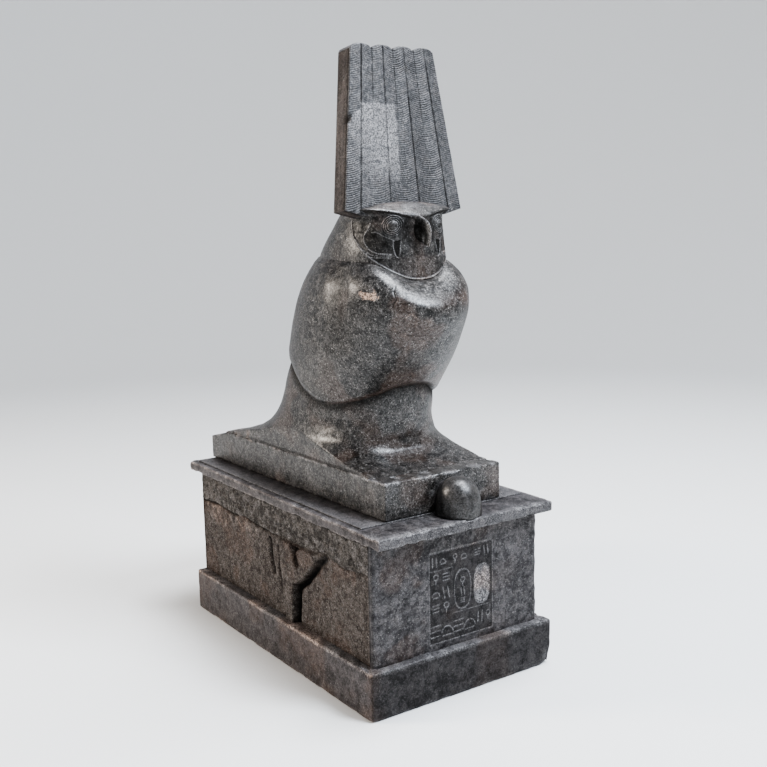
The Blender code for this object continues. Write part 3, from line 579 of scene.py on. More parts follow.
def stone_finish(name):
    """Dark stone: fine grains between a dark and a light tone with soft clouds, pale
    crystals, hair-fine scratches, reddish stains, pale pecked stone with painted highlights,
    and painted shade, where the piece's own fields say so. The gloss follows the grains and fades
    toward the rim."""
    found = bpy.data.materials.get(name)
    if found:
        return found
    tones = bpy.context.scene.falcon_stone
    finish = FINISHES[name]
    speckle, polish, sheen = finish["speckle"], finish["polish"], finish["sheen"]
    material = bpy.data.materials.new(name)
    material.use_nodes = True
    tree = material.node_tree
    shader = tree.nodes["Principled BSDF"]
    place = tree.nodes.new("ShaderNodeTexCoord")
    place.location = (-2200, 0)
    at = place.outputs["Object"]
    clouds = noise_node(tree, at, CLOUDS, 3.0, 0.50, (-2000, 500))
    mottle = noise_node(tree, at, MOTTLE, 4.0, 0.62, (-2000, 300))
    grains = noise_node(tree, at, GRAINS, 3.0, 0.72, (-2000, 100))
    crystals = noise_node(tree, at, CRYSTALS, 1.0, 0.50, (-2000, -100))
    hairs = noise_node(tree, at, HAIRS, 3.0, 0.60, (-2000, -300))
    wear_and_highlight = field_node(tree, "wear_and_highlight", (-2000, -500))
    shade = field_node(tree, "shade", (-2000, -650))
    warm = field_node(tree, "warm", (-2000, -800))
    # Grains, mottling and clouds in their shares
    patchy = finish["patchy"]
    mixed = math_node(tree, "ADD", multiplied(tree, grains, GRAIN_SHARE - patchy, (-1800, 100)),
                      multiplied(tree, mottle, patchy, (-1800, 300)), (-1650, 200))
    mixed = math_node(tree, "ADD", mixed,
                      multiplied(tree, clouds, CLOUD_SHARE, (-1800, 500)), (-1500, 200))
    # Colour: the tones, then brown mottling, stains, scratches, crystals, rubbing with painted
    # highlights, and painted shade
    blend = ramp_node(tree, mixed, ((0.41, 0.0), (0.50, 0.28), (0.60, 1.0)), (-1350, 200))
    colour = mix_node(tree, blend, finish["dark"], finish["light"], (-1100, 300))
    brown = ramp_node(tree, mottle, ((0.46, 0.0), (0.70, 0.40)), (-1350, 450))
    colour = mix_node(tree, brown, colour, tones.warm_tone, (-950, 300))
    stain = ramp_node(tree, grains, ((0.36, 0.30), (0.60, 1.0)), (-1350, -800))
    stain = multiplied(tree, warm, stain, (-1050, -800))
    colour = mix_node(tree, stain, colour, tones.stain_tone, (-800, 300))
    lines = ramp_node(tree, hairs, ((0.482, 0.0), (0.495, speckle), (0.508, 0.0)), (-1350, -300))
    kept = ramp_node(tree, mottle, ((0.42, 0.0), (0.56, 1.0)), (-1350, -150))
    lines = multiplied(tree, lines, kept, (-1050, -300))
    colour = mix_node(tree, lines, colour, tones.crystal_tone, (-650, 300))
    spots = ramp_node(tree, crystals, ((0.66, 0.0), (0.75, speckle)), (-1350, 0))
    colour = mix_node(tree, spots, colour, tones.crystal_tone, (-500, 300))
    # Pale rubbed stone, and the painted highlights that the same field carries
    rubbed = ramp_node(tree, crystals, ((0.42, 0.10), (0.59, 1.0)), (-1350, -500))
    rubbed = multiplied(tree, wear_and_highlight, rubbed, (-1050, -500))
    broken = mix_node(tree, warm, tones.rubbed_and_highlight_tone, tones.broken_tone, (-650, -500))
    colour = mix_node(tree, rubbed, colour, broken, (-350, 300))
    colour = mix_node(tree, shade, colour, SHADE_TONE, (-200, 300))
    tree.links.new(colour, shader.inputs["Base Color"])
    # Roughness and gloss
    rough = ramp_node(tree, mottle, ((0.36, polish - 0.03), (0.64, polish + 0.06)), (-800, 0))
    rough = mix_node(tree, rubbed, rough, (RUBBED_AND_HIGHLIGHT_ROUGHNESS,) * 3, (-500, 0))
    rough = mix_node(tree, shade, rough, (SHADE_ROUGHNESS,) * 3, (-350, 0))
    tree.links.new(rough, shader.inputs["Roughness"])
    shine = ramp_node(tree, mixed, ((0.42, 0.40 * sheen), (0.58, sheen)), (-800, -350))
    shine = mix_node(tree, shade, shine, (SHADE_SHEEN,) * 3, (-500, -350))
    facing = tree.nodes.new("ShaderNodeLayerWeight")
    facing.location = (-800, -550)
    rim = ramp_node(tree, facing.outputs["Facing"], ((0.55, 1.0), (0.92, 0.25)), (-500, -550))
    tree.links.new(multiplied(tree, shine, rim, (-200, -350)),
                   shader.inputs["Specular IOR Level"])
    # Relief of the grains
    height = multiplied(tree, grains, 0.55, (-1050, -100))
    height = math_node(tree, "ADD", mottle, height, (-800, -200))
    relief = add_node(tree, "ShaderNodeBump", (-350, -200),
                      Strength=finish["grain"], Distance=GRAIN_HEIGHT)
    tree.links.new(height, relief.inputs["Height"])
    tree.links.new(relief.outputs["Normal"], shader.inputs["Normal"])
    return material


# Falcon


def hem_share(degrees):
    """Height of the body's lower edge: a smooth line through HEM, the same both sides."""
    knots = np.array(HEM, dtype=float)
    line = through(np.vstack((knots[1] * np.array((-1.0, 1.0)), knots)))
    return np.interp(np.abs(degrees), line[:, 0], line[:, 1])


def breast_grid(columns, rows):
    """The body's skin from its hem to its rim. Rows run at even shares between the two,
    and the rim dips under the chin."""
    angle = np.linspace(-np.pi, np.pi, columns, endpoint=False)
    degrees = np.degrees(angle)
    share = np.linspace(0.0, 1.0, rows)[:, None]
    foot = hem_share(degrees)[None, :]
    top = BREAST_AND_WINGS[-1][0]
    level = foot + (top - foot) * (1 - (1 - share) ** 1.15)
    around = np.broadcast_to(angle, level.shape)
    skin = figure_skin(BREAST_AND_WINGS, level, around)
    grown = 1 - (1 - np.clip((level - 0.50) / 0.242, 0.0, 1.0)) ** 1.35
    dip = CHIN_DIP * grown * np.exp(-np.abs(np.degrees(around) / CHIN_DIP_SPREAD) ** CHIN_DIP_POWER)
    skin[..., 2] -= dip * FIGURE
    return skin, level, np.degrees(around)


def build_breast():
    """The breast and wings: soft unevenness, less the hollow, the rolled hem, the crack,
    the broken spot and the scratches, all as metres along the skin's normals."""
    sizes = bpy.context.scene.falcon_sizes
    skin, level, degrees = breast_grid(*BREAST_STEPS)
    side = np.abs(degrees)
    lift = 0.0007 * cloud(skin, 0.060, 3, 11) + 0.0003 * cloud(skin, 0.012, 3, 12)
    # A soft hollow runs down between the shoulder and the breast
    hollow_at = HOLLOW_AT - HOLLOW_LEAN * (HOLLOW_LEVEL - level)
    hollow = bump(side - hollow_at, HOLLOW_SPREAD) * between(0.40, 0.56, level)
    hollow = hollow * between(0.775, 0.72, level)
    lift -= sizes.wing_hollow * hollow
    # The hem rolls back under the body
    above_hem = (level - hem_share(degrees)) * FIGURE
    lift -= sizes.hem_round * (1 - between(0.0, sizes.hem_reach, above_hem)) ** 2
    lift -= 0.0040 * between(88, 112, side) * (1 - between(0.0, 0.030, above_hem))
    # Wing: faint upright streaks behind the hollow
    wing = between(70, 95, side) * between(0.30, 0.40, level)
    streaks = noise(stacked(degrees / 2.2, level * 3.0, 0.0), 1.0, 5)
    lift += 0.00016 * streaks * wing
    # A crack and a broken spot on the bird's left breast, and a few short scratches
    scale = np.array((BREAST_SCALE, FIGURE))
    flat = stacked(degrees, level) * scale
    wander = 0.0012 * noise(skin, 0.010, 13)
    crack = line_distance(flat, np.array(CRACK) * scale) + wander
    crack = bump(crack, 0.0013) * between(0.60, 0.66, level)
    lift -= 0.0010 * crack
    spot = flat - np.array(BROKEN_SPOT) * scale
    spot_gap = np.hypot(spot[..., 0] / 1.6, spot[..., 1]) + 0.0100 * cloud(skin, 0.009, 3, 3)
    broken = between(0.0088, 0.0072, spot_gap)
    lift -= 0.0011 * broken * (1 + 0.6 * noise(skin, 0.004, 14))
    scratched = np.zeros(level.shape)
    for scratch in SCRATCHES:
        gap = line_distance(flat, np.array(scratch) * scale)
        scratched = np.maximum(scratched, bump(gap, 0.0013))
    lift -= 0.0003 * scratched
    skin = pushed(skin, lift)
    # The tucked ring under the hem lies inside the legs
    inward = np.array((0.0, AXIS / 5)) - skin[0][:, :2]
    inward /= np.linalg.norm(inward, axis=-1, keepdims=True)
    tuck = skin[0] + np.column_stack((inward * 0.014, np.full(len(inward), 0.004)))
    rings = np.concatenate((tuck[None], skin))
    warm = 0.75 * patches(0.02, 0.30, skin, 0.045, 3, 21) * between(100, 40, side)
    warm = np.maximum(warm * between(0.74, 0.66, level), 0.95 * broken)
    wear_and_highlight = 0.12 * patches(0.08, 0.38, skin, 0.010, 4, 22) * between(0.25, 0.45, level)
    wear_and_highlight = np.maximum(wear_and_highlight, 0.95 * broken)
    wear_and_highlight = np.maximum(wear_and_highlight, 0.60 * scratched)
    # Painted shade under the rolled hem, in the crack, in the hollow and on the tucked ring
    shade = 0.62 * (1 - between(0.0, 0.012, above_hem)) ** 1.5 + 0.9 * crack + 0.30 * hollow
    pad = ((1, 0), (0, 0))
    fields = {"wear_and_highlight": np.pad(wear_and_highlight, pad), "warm": np.pad(warm, pad),
              "shade": np.pad(shade, pad, constant_values=0.8)}
    of_falcon(add_tower("falcon_breast_and_wings", rings, "polished falcon stone", fields))


def block_half_width(y):
    """Half the block's width at a place along Y, widening evenly to the rear."""
    share = np.clip((y - BLOCK_FRONT) / (BLOCK_REAR - BLOCK_FRONT), 0.0, 1.0)
    return (BLOCK_FRONT_WIDTH + (BLOCK_REAR_WIDTH - BLOCK_FRONT_WIDTH) * share) / 2


def build_legs():
    """Rings of LEGS_AND_TAIL, dressed flat at the block's sides and rear."""
    low, high = LEGS_AND_TAIL[0][0], LEGS_AND_TAIL[-1][0]
    around, below, above = LEG_STEPS
    heights = np.concatenate((np.linspace(low, LEG_FLARE, below, endpoint=False),
                              np.linspace(LEG_FLARE, high, above)))
    angle, level, skin = figure_grid(LEGS_AND_TAIL, heights, around)
    skin[..., 1] = np.minimum(skin[..., 1], BLOCK_REAR - DRESSING)
    limit = block_half_width(skin[..., 1]) - DRESSING
    trimmed = np.abs(skin[..., 0]) > limit
    skin[..., 0] = np.clip(skin[..., 0], -limit, limit)
    lift = 0.0006 * cloud(skin, 0.050, 3, 31) + 0.0003 * cloud(skin, 0.012, 3, 32)
    lift = np.where(trimmed, np.minimum(lift, 0.0) * 0.6, lift)
    tail = between(0.10, 0.20, skin[..., 1])
    broken = tail * patches(0.10, 0.32, skin, 0.016, 3, 35) * between(0.06, 0.0, level)
    lift -= 0.0022 * broken
    skin = pushed(skin, lift)
    side = np.abs(np.degrees(angle))
    # Painted shade below the hem and along the foot of the flanks, where they meet the block
    below_hem = (hem_share(side) - level) * FIGURE
    under = (1 - between(-0.004, 0.016, below_hem)) ** 1.3
    base = bump(level - 0.004, 0.010) * between(20, 60, side) * between(0.24, 0.10, skin[..., 1])
    warm = 0.45 * patches(0.0, 0.3, skin, 0.040, 3, 33)
    warm = np.maximum(warm, 0.6 * bump(broken - 0.4, 0.4))
    wear_and_highlight = (0.06 + 0.22 * tail) * patches(0.0, 0.3, skin, 0.010, 4, 34)
    wear_and_highlight = np.maximum(wear_and_highlight, 0.70 * broken)
    fields = {"wear_and_highlight": wear_and_highlight, "warm": warm, "shade": 0.70 * under + 0.50 * base}
    of_falcon(add_tower("falcon_legs_and_tail", skin, "polished falcon stone", fields))


def rounded_plan(low, high, radius, step):
    """A rectangle with rounded corners, anticlockwise from the middle of its front."""
    centre = (np.array(low[:2]) + np.array(high[:2])) / 2
    half = (np.array(high[:2]) - np.array(low[:2])) / 2
    core = half - radius
    outline = []
    for (sx, sy), start in (((1, -1), -90), ((1, 1), 0), ((-1, 1), 90), ((-1, -1), 180)):
        for a in np.radians(np.linspace(start, start + 90, CORNER_STEPS)):
            outline.append((sx * core[0] + radius * math.cos(a),
                            sy * core[1] + radius * math.sin(a)))
    outline = np.array([(0.0, -half[1])] + outline)
    closed = np.vstack((outline, outline[:1]))
    points = []
    for start, end in zip(closed, closed[1:]):
        count = max(int(round(np.linalg.norm(end - start) / step)), 1)
        t = np.arange(count)[:, None] / count
        points.append(start + (end - start) * t)
    return centre + np.vstack(points)


def slab_rings(low, high, radius, side_step, top_steps, plan_step):
    """A dressed block as rings: in from a point below, up the sides round both edges,
    and in again to the middle of the top. Returns points, and for each ring 1 on the
    rounded upper edge, 0.5 on the lower one and 0 elsewhere."""
    plan = rounded_plan(low, high, radius, plan_step)
    centre = plan.mean(axis=0)
    half = (np.array(high[:2]) - np.array(low[:2])) / 2
    bend = np.radians(np.linspace(0, 90, EDGE_STEPS))
    sides = max(int(round((high[2] - low[2] - 2 * radius) / side_step)), 1)
    between_edges = np.linspace(low[2] + radius, high[2] - radius, sides + 1)[1:-1]
    rings = [(0.03 * half, low[2], 0.0), (0.5 * half, low[2], 0.0)]
    for a in bend:
        rings.append((half - radius * (1 - math.sin(a)), low[2] + radius * (1 - math.cos(a)), 0.5))
    for z in between_edges:
        rings.append((half, z, 0.0))
    for a in bend:
        rings.append((half - radius * (1 - math.cos(a)), high[2] - radius * (1 - math.sin(a)), 1.0))
    for t in np.linspace(1.0, 0.0, top_steps + 1)[1:]:
        rings.append(((half - radius) * (t + 0.01), high[2], 0.0))
    skin = [np.column_stack((centre + (plan - centre) * reach / half, np.full(len(plan), z)))
            for reach, z, edge in rings]
    edges = np.array([edge for reach, z, edge in rings])[:, None]
    return np.array(skin), edges


def build_block():
    """The block: narrowed toward the front, its top falling evenly by TAIL_DROP over
    TAIL_SLOPE_RUN at the rear, and dented along its upper edge."""
    low = (-BLOCK_REAR_WIDTH / 2, BLOCK_FRONT, BLOCK_FOOT)
    high = (BLOCK_REAR_WIDTH / 2, BLOCK_REAR, BLOCK_TOP)
    skin, edges = slab_rings(low, high, EDGE_ROUND, *BLOCK_GRID)
    skin[..., 0] *= block_half_width(skin[..., 1]) / (BLOCK_REAR_WIDTH / 2)
    slope = np.clip((skin[..., 1] - (BLOCK_REAR - TAIL_SLOPE_RUN)) / TAIL_SLOPE_RUN, 0, 1)
    share = (skin[..., 2] - BLOCK_FOOT) / (BLOCK_TOP - BLOCK_FOOT)
    skin[..., 2] -= TAIL_DROP * slope * share
    rough = cloud(skin, 0.030, 3, 41) * 0.0006 + cloud(skin, 0.008, 3, 42) * 0.0008
    edge = bump(skin[..., 2] - (BLOCK_TOP - TAIL_DROP * slope), 0.006)
    dent = patches(0.12, 0.34, skin, 0.018, 3, 43) * edge
    lift = np.minimum(rough, 0.0) - 0.0018 * dent
    skin = pushed(skin, lift)
    skin[..., 2] = np.maximum(skin[..., 2], BLOCK_FOOT)
    # Pale wear and dents, painted highlights on the rounded upper edges, and painted shade along the
    # foot
    pale = patches(-0.05, 0.3, skin, 0.012, 4, 44)
    on_top = between(BLOCK_TOP - 0.002, BLOCK_TOP - 0.0008, skin[..., 2])
    wear_and_highlight = 0.16 * pale * (1 - on_top) + 0.45 * dent + 0.75 * edges * pale
    warm = 0.35 * patches(0.05, 0.3, skin, 0.05, 3, 45)
    foot = bump(skin[..., 2] - BLOCK_FOOT, 0.004) * between(0.5, 1.0, share + 0.9)
    fields = {"wear_and_highlight": wear_and_highlight, "warm": warm, "shade": 0.4 * foot}
    of_falcon(add_tower("falcon_block", skin, "polished falcon stone", fields))


def face_plane(degrees, level):
    """The face unrolled: metres round the skin from straight ahead, metres up."""
    return stacked(np.abs(degrees) * FACE_SCALE, level * FIGURE)


def face_line(knots):
    """A smooth line of the face in the metres of the unrolled face."""
    line = np.array(knots, dtype=float)
    return through(line * np.array((FACE_SCALE, FIGURE)))


def build_head():
    """The head: sunk between brow and border, with raised lines and ringed eyes placed by
    their distances in the unrolled face."""
    around, up = HEAD_STEPS
    heights = np.linspace(HEAD[0][0], HEAD[-1][0], up)
    angle, level, skin = figure_grid(HEAD, heights, around, HEAD_FRONT_WEIGHT)
    degrees = np.degrees(angle)
    flat = face_plane(degrees, level)
    lift = 0.0004 * cloud(skin, 0.040, 3, 51) + 0.00015 * cloud(skin, 0.010, 3, 52)
    grain = cloud(skin, 0.006, 3, 55)
    # The face lies a little below the forehead band and the nape
    brow, border = face_line(BROW), face_line(FACE_BORDER)
    within = inside(flat, np.vstack((border, brow[::-1])))
    brow_gap = line_distance(flat, brow)
    border_gap = line_distance(flat, border)
    beside_beak = between(7.0, 14.0, np.abs(degrees))
    sunk = np.where(within, between(0.0, 0.0022, np.minimum(brow_gap, border_gap)), 0.0)
    under_brow = np.where(within, bump(brow_gap, 0.0100), 0.0)
    lift -= 0.0010 * sunk
    lift -= 0.0014 * np.where(within, bump(brow_gap, 0.0040), 0.0) * beside_beak
    lift += 0.0008 * np.where(within, 0.0, bump(brow_gap - 0.0014, 0.0050)) * beside_beak
    # The sunk face is painted darker, with painted shadow under the brow beside the beak
    shade = np.where(within, 0.44 + 0.60 * grain, 0.0) * sunk
    shade = np.maximum(shade, 0.85 * under_brow * beside_beak)
    wear_and_highlight = 0.06 * patches(0.05, 0.35, skin, 0.020, 4, 53)
    # The cheek inside its loop is the darkest part
    cheek = inside(flat, np.vstack((face_line(CHEEK_LOOP), face_line(CHEEK_TOP)[::-1])))
    shade = np.maximum(shade, np.where(cheek, 0.64 + 0.50 * grain, 0.0))
    # Thin pale lines stand up from the face
    thin = np.zeros(level.shape)
    for knots, width, pale in ((CHEEK_LOOP, 0.0012, 1.00), (CHEEK_UNDER, 0.0010, 0.85),
                               (CHEEK_LOWER, 0.0010, 0.75), (BORDER_TWIN, 0.0010, 0.80),
                               (FACE_BORDER, 0.0010, 0.80), (CHEEK_TOP, 0.0010, 0.60)):
        thin = np.maximum(thin, pale * bump(line_distance(flat, face_line(knots)), width))
    # The sunk drop below the eye, painted dark with painted shade, with a pale lip round it
    back, front = face_line(TEAR_BACK), face_line(TEAR_FRONT)
    drop = inside(flat, np.vstack((back, front[::-1])))
    lip = np.minimum(line_distance(flat, back), line_distance(flat, front))
    lift -= np.where(drop, 0.0011 * between(0.0, 0.0012, lip), 0.0)
    shade = np.maximum(shade, np.where(drop, 0.9, 0.0))
    thin = np.maximum(thin, 0.80 * bump(lip, 0.0012))
    # The eye: a ball in three rings under an arched line, with painted shade in the groove outside each
    # ring
    eye = flat - np.array((EYE[0] * FACE_SCALE, EYE[1] * FIGURE))
    ring = np.hypot(eye[..., 0] / EYE_HALF_WIDTH, eye[..., 1] / EYE_HALF_HEIGHT)
    in_eye = ring < 1.2
    thin = np.where(in_eye, 0.0, thin)
    for at, pale in ((0.66, 0.85), (0.90, 0.60), (1.14, 0.55)):
        thin = np.maximum(thin, pale * bump((ring - at) * EYE_HALF_HEIGHT, 0.0011))
        dark = bump((ring - at - 0.12) * EYE_HALF_HEIGHT, 0.0011)
        shade = np.maximum(shade, 0.92 * dark)
        lift -= 0.0010 * dark
    arch = bump((ring - 1.42) * EYE_HALF_HEIGHT, 0.0011) * between(0.0, 0.004, eye[..., 1])
    thin = np.maximum(thin, 0.8 * arch)
    ball = np.sqrt(np.clip(1 - (ring / 0.58) ** 2, 0.0, 1.0))
    lift += 0.0040 * ball + 0.0009 * thin
    shade = np.where(ring < 0.56, 0.45, shade * (1 - thin))
    wear_and_highlight = np.maximum(wear_and_highlight, 0.95 * thin)
    # A painted highlight lies on the band over the brow
    band = between(0.948, 0.962, level) * between(80, 50, np.abs(degrees))
    wear_and_highlight = np.maximum(wear_and_highlight, 0.26 * band)
    # The hollow beside the beak, with painted shade in it
    beside = bump(np.abs(degrees) - 11.0, 13.0) ** 0.6 * between(0.946, 0.920, level)
    beside = beside * between(0.795, 0.842, level)
    lift -= 0.0016 * beside
    shade = np.maximum(shade, (0.80 + 0.35 * grain) * beside)
    skin = pushed(skin, lift)
    # The chin's front is painted lit: paler, warmer and with less shade
    chin = bump(degrees, 34.0) * between(0.80, 0.77, level) * between(0.69, 0.72, level)
    warm = 0.50 * patches(0.0, 0.3, skin, 0.03, 3, 54) * np.where(within, 1.0, 0.4)
    warm = np.maximum(warm, 0.30 * chin)
    wear_and_highlight = np.maximum(wear_and_highlight, 0.12 * chin)
    fields = {"wear_and_highlight": wear_and_highlight, "shade": shade * (1 - 0.60 * chin), "warm": warm}
    of_falcon(add_tower("falcon_head", skin, "polished falcon stone", fields))


def build_beak():
    """Hooked beak: sections run back from the ridge line to their own root height on the
    face, reach falling as |s|^1.1."""
    line = through(BEAK_RIDGE)
    cover, floor = BEAK_STEPS
    s = np.concatenate((np.linspace(-1, 1, cover), np.linspace(1, -1, floor)[1:-1]))
    inner = np.arange(len(s)) >= cover
    reach, level, half, root = (line[:, i][:, None] * FIGURE for i in range(4))
    back = BEAK_ROOT * FIGURE
    x = half * s
    y = AXIS - np.where(inner, back, reach - (reach - back) * np.abs(s) ** 1.1)
    z = BLOCK_TOP + np.where(inner, root, level + (root - level) * np.abs(s))
    skin = stacked(x, y, z)[::-1]
    # Painted highlight along the ridge and painted shadow on the flanks; the nostril is a pale mark
    ridge = bump(s, 0.26)
    along = np.linspace(1, 0, len(line))[:, None]
    nostril = bump(np.abs(s) - 0.42, 0.10) * bump(along - 0.62, 0.20)
    flank = between(0.14, 0.34, np.abs(s)) * (0.9 + 0.5 * cloud(skin, 0.006, 3, 56))
    fields = {"shade": 0.86 * flank * (1 - nostril), "wear_and_highlight": 0.95 * ridge + 0.6 * nostril}
    of_falcon(add_tower("falcon_beak", skin, "polished falcon stone", fields))


def rounded_edge(gap, radius):
    """How far a rounded edge lies behind its face at a gap from it: r - sqrt(r^2 - (r-gap)^2),
    and 0 beyond the radius."""
    return radius - np.sqrt(np.clip(radius ** 2 - np.clip(radius - gap, 0, radius) ** 2, 0, None))


def crown_width(up):
    """Width of the crown at a height above its foot: tapering up, and in below the foot."""
    above = CROWN_FOOT_WIDTH + (CROWN_TOP_WIDTH - CROWN_FOOT_WIDTH) * up / CROWN_HEIGHT
    below = CROWN_FOOT_WIDTH + (CROWN_FOOT_WIDTH - CROWN_TAPER_WIDTH) * up / CROWN_TAPER_DROP
    return np.where(up >= 0, above, below)


def plume_arch(share):
    """Rise of the plumes' tips across the crown: PLUME_ARCH (1 - |2t-1|^2.3)^0.5."""
    t = (share * PLUMES) % 1.0
    return PLUME_ARCH * np.clip(1 - np.abs(2 * t - 1) ** 2.3, 0.0, 1.0) ** 0.5


def crown_columns(front, back, side):
    """Once round the crown, anticlockwise from its front left corner: shares across and
    in depth. Steps are 0.45 as long at the ribs and the plumes' edges as on average."""
    def spread(count):
        even = np.linspace(0.0, 1.0, count + 1)
        turn = 4 * np.pi * PLUMES
        return even - 0.55 * np.sin(turn * even) / turn
    across = np.concatenate((spread(front), np.ones(side - 1),
                             spread(back)[::-1], np.zeros(side - 1)))
    deep = np.linspace(0, 1, side + 1)[1:-1]
    depth = np.concatenate((np.zeros(front + 1), deep, np.ones(back + 1), deep[::-1]))
    return across, depth


def rubbed_patch(x, up):
    """1 in the pale rubbed patch in the upper left of the crown's front, 0 outside it."""
    ragged = stacked(x, up, 0.0)
    edge = 0.0030 * cloud(ragged, 0.014, 3, 69)
    top = np.where(x > PATCH_LEFT, PATCH_TOP, PATCH_TOP - 0.7 * (PATCH_LEFT - x) - 0.008)
    patch = between(0.0016, -0.0016, up - top + edge)
    patch = patch * between(0.0022, -0.0022, x - PATCH_RIGHT + edge)
    left = between(-0.115, -0.070, x + 0.4 * (up - PATCH_TOP))
    return patch * between(0.012, 0.085, up + 3 * edge) * (0.30 + 0.70 * left)


def close_crown_end(row, columns, front, back, side, flip):
    """Faces that close an end from front to back, each over equal shares of both."""
    quarter = front // back
    faces = []
    for j in range(back):
        lead = list(range(j * quarter, (j + 1) * quarter + 1))
        rear = [front + side + back - j - 1, front + side + back - j]
        faces.append([row * columns + i for i in lead + rear])
    for low, high in ((front, front + side), (front + side + back, columns)):
        faces.append([row * columns + i % columns for i in range(low, high + 1)])
    return [face[::-1] for face in faces] if flip else faces


def build_crown():
    """The crown: shares across and up, leaning back. The front is cut in by ribs, seams
    and barbs, which follow the cosine of height plus sag over barb_pitch."""
    sizes = bpy.context.scene.falcon_sizes
    front, back, side = CROWN_STEPS
    across, depth = crown_columns(front, back, side)
    rise = np.linspace(0.0, 1.0, CROWN_ROWS)[:, None]
    top = CROWN_HEIGHT + plume_arch(np.clip(across, 1e-6, 1 - 1e-6))[None, :]
    up = -CROWN_TAPER_DROP + (top + CROWN_TAPER_DROP) * rise
    level = np.maximum(up, 0.0)
    x = (across - 0.5) * crown_width(up)
    to_side = np.minimum(across, 1 - across) * crown_width(up)
    is_front = depth == 0.0
    facing = np.where(is_front, 1.0, np.where(depth == 1.0, -1.0, 0.0))
    to_rim = np.minimum(to_side, top - up)
    out = -CROWN_THICKNESS * depth - facing * rounded_edge(to_rim, CROWN_ROUND)
    # Plumes: softly rounded between their edges, each with a cut rib
    t = (across * PLUMES) % 1.0
    from_rib = np.abs(t - 0.5) * crown_width(level) / PLUMES
    from_edge = np.minimum(t, 1 - t) * crown_width(level) / PLUMES
    inner = np.where((across > 0.5 / PLUMES) & (across < 1 - 0.5 / PLUMES), 1.0, 0.0)
    ground = stacked(x, up, out)
    patch = np.where(is_front, rubbed_patch(x, up), 0.0)
    wander = 0.0004 * noise(ground, 0.012, 60)
    ribs = bump(from_rib + wander, sizes.rib_width) * (0.78 + 0.22 * noise(ground, 0.020, 61))
    ribs = ribs * np.where(x > 0, 0.55 + 0.45 * between(0.24, 0.16, up), 1 - 0.35 * patch)
    relief = -sizes.rib_depth * ribs + 0.0004 * bump(from_rib - 0.0026, 0.0016)
    seam = bump(from_edge + wander, 0.0011) * inner * between(0.06, 0.20, up)
    relief -= 0.0007 * seam + 0.0008 * bump(from_edge, 0.010)
    # Barbs sag between the ribs, and run down to the right on the last half plume
    sag = np.clip(from_rib / (crown_width(level) / PLUMES / 2), 0, 1)
    line = up + sizes.barb_sag * (1 - (1 - sag) ** 2)
    barbs = np.cos(2 * np.pi * (line / sizes.barb_pitch + 0.30 * noise(ground, 0.016, 62)))
    kept = (1 - 0.80 * patch) * (1 - 0.55 * between(0.02, -0.06, x) * between(0.06, 0.16, up))
    strong = kept * (0.70 + 0.30 * noise(ground, 0.030, 64)) * (1 - ribs)
    valley = np.clip(0.5 - 0.5 * barbs, 0.0, 1.0) ** 1.5 * strong
    relief -= sizes.barb_depth * valley
    relief += 0.0005 * cloud(ground, 0.008, 3, 65) * (0.5 + patch)
    relief = np.where(is_front, relief, 0.0)
    relief -= np.where(depth == 1.0, 0.0008 * bump(from_edge, 0.0016) * inner, 0.0)
    relief += 0.0004 * cloud(ground, 0.020, 3, 66)
    # A groove behind the front corner, darkened with painted shade, and a broken notch on the bird's
    # right
    groove = np.where(depth == 1 / side, 1.0, 0.0)
    notch = bump(up - NOTCH_LEVEL, 0.009) * bump(to_side, 0.006) * bump(depth, 0.4)
    notch = notch * np.where(x < 0, 1.0, 0.0)
    out = out + facing * np.minimum(relief, 0.0) - 0.003 * notch
    striae = noise(stacked(out / 0.0022, up / 0.030, 0.0), 1.0, 67)
    side_cut = np.where(facing == 0, 0.0007 * (0.5 - 0.5 * striae) + 0.0016 * groove, 0.0)
    x = x - np.sign(across - 0.5) * (side_cut + 0.003 * notch)
    foot = np.array((0.0, AXIS + CROWN_FRONT * FIGURE, BLOCK_TOP + CROWN_FOOT * FIGURE))
    upward = np.array((0.0, math.sin(CROWN_LEAN), math.cos(CROWN_LEAN)))
    outward = np.array((0.0, -math.cos(CROWN_LEAN), math.sin(CROWN_LEAN)))
    skin = foot + x[..., None] * np.array((1.0, 0.0, 0.0))
    skin = skin + up[..., None] * upward + out[..., None] * outward
    # Painted shade in the ribs, seams, barb valleys, groove and notch; the sides get painted shade and
    # brown, with darker streaks
    shade = np.where(is_front, 0.90 * ribs + 0.50 * seam + 0.66 * valley, 0.0)
    shade = np.where(facing == 0, 0.32 + 0.60 * groove + 0.22 * striae, shade) + 0.6 * notch
    pale = patches(0.02, 0.35, ground, 0.014, 4, 68)
    wear_and_highlight = 0.05 + 0.80 * patch + 0.26 * pale * is_front
    wear_and_highlight = np.maximum(wear_and_highlight, 0.60 * bump(top - up, 0.004) * (0.5 + 0.5 * pale))
    wear_and_highlight = np.maximum(wear_and_highlight, 0.80 * is_front * bump(up - 0.006 - 0.20 * sag * 0.03, 0.0022) * pale)
    wear_and_highlight = np.where(facing == 0, 0.10 * pale, wear_and_highlight) * (1 - 0.8 * np.clip(ribs * is_front, 0, 1))
    warm = np.broadcast_to(np.where(facing == 0, 0.55, 0.0), up.shape)
    rows, columns = up.shape
    faces = grid_faces(rows, columns).tolist()
    faces += close_crown_end(0, columns, front, back, side, True)
    faces += close_crown_end(rows - 1, columns, front, back, side, False)
    fields = {"wear_and_highlight": wear_and_highlight, "shade": shade, "warm": warm}
    of_falcon(add_piece("falcon_crown", skin, faces, "crown stone", fields))


# Pedestal


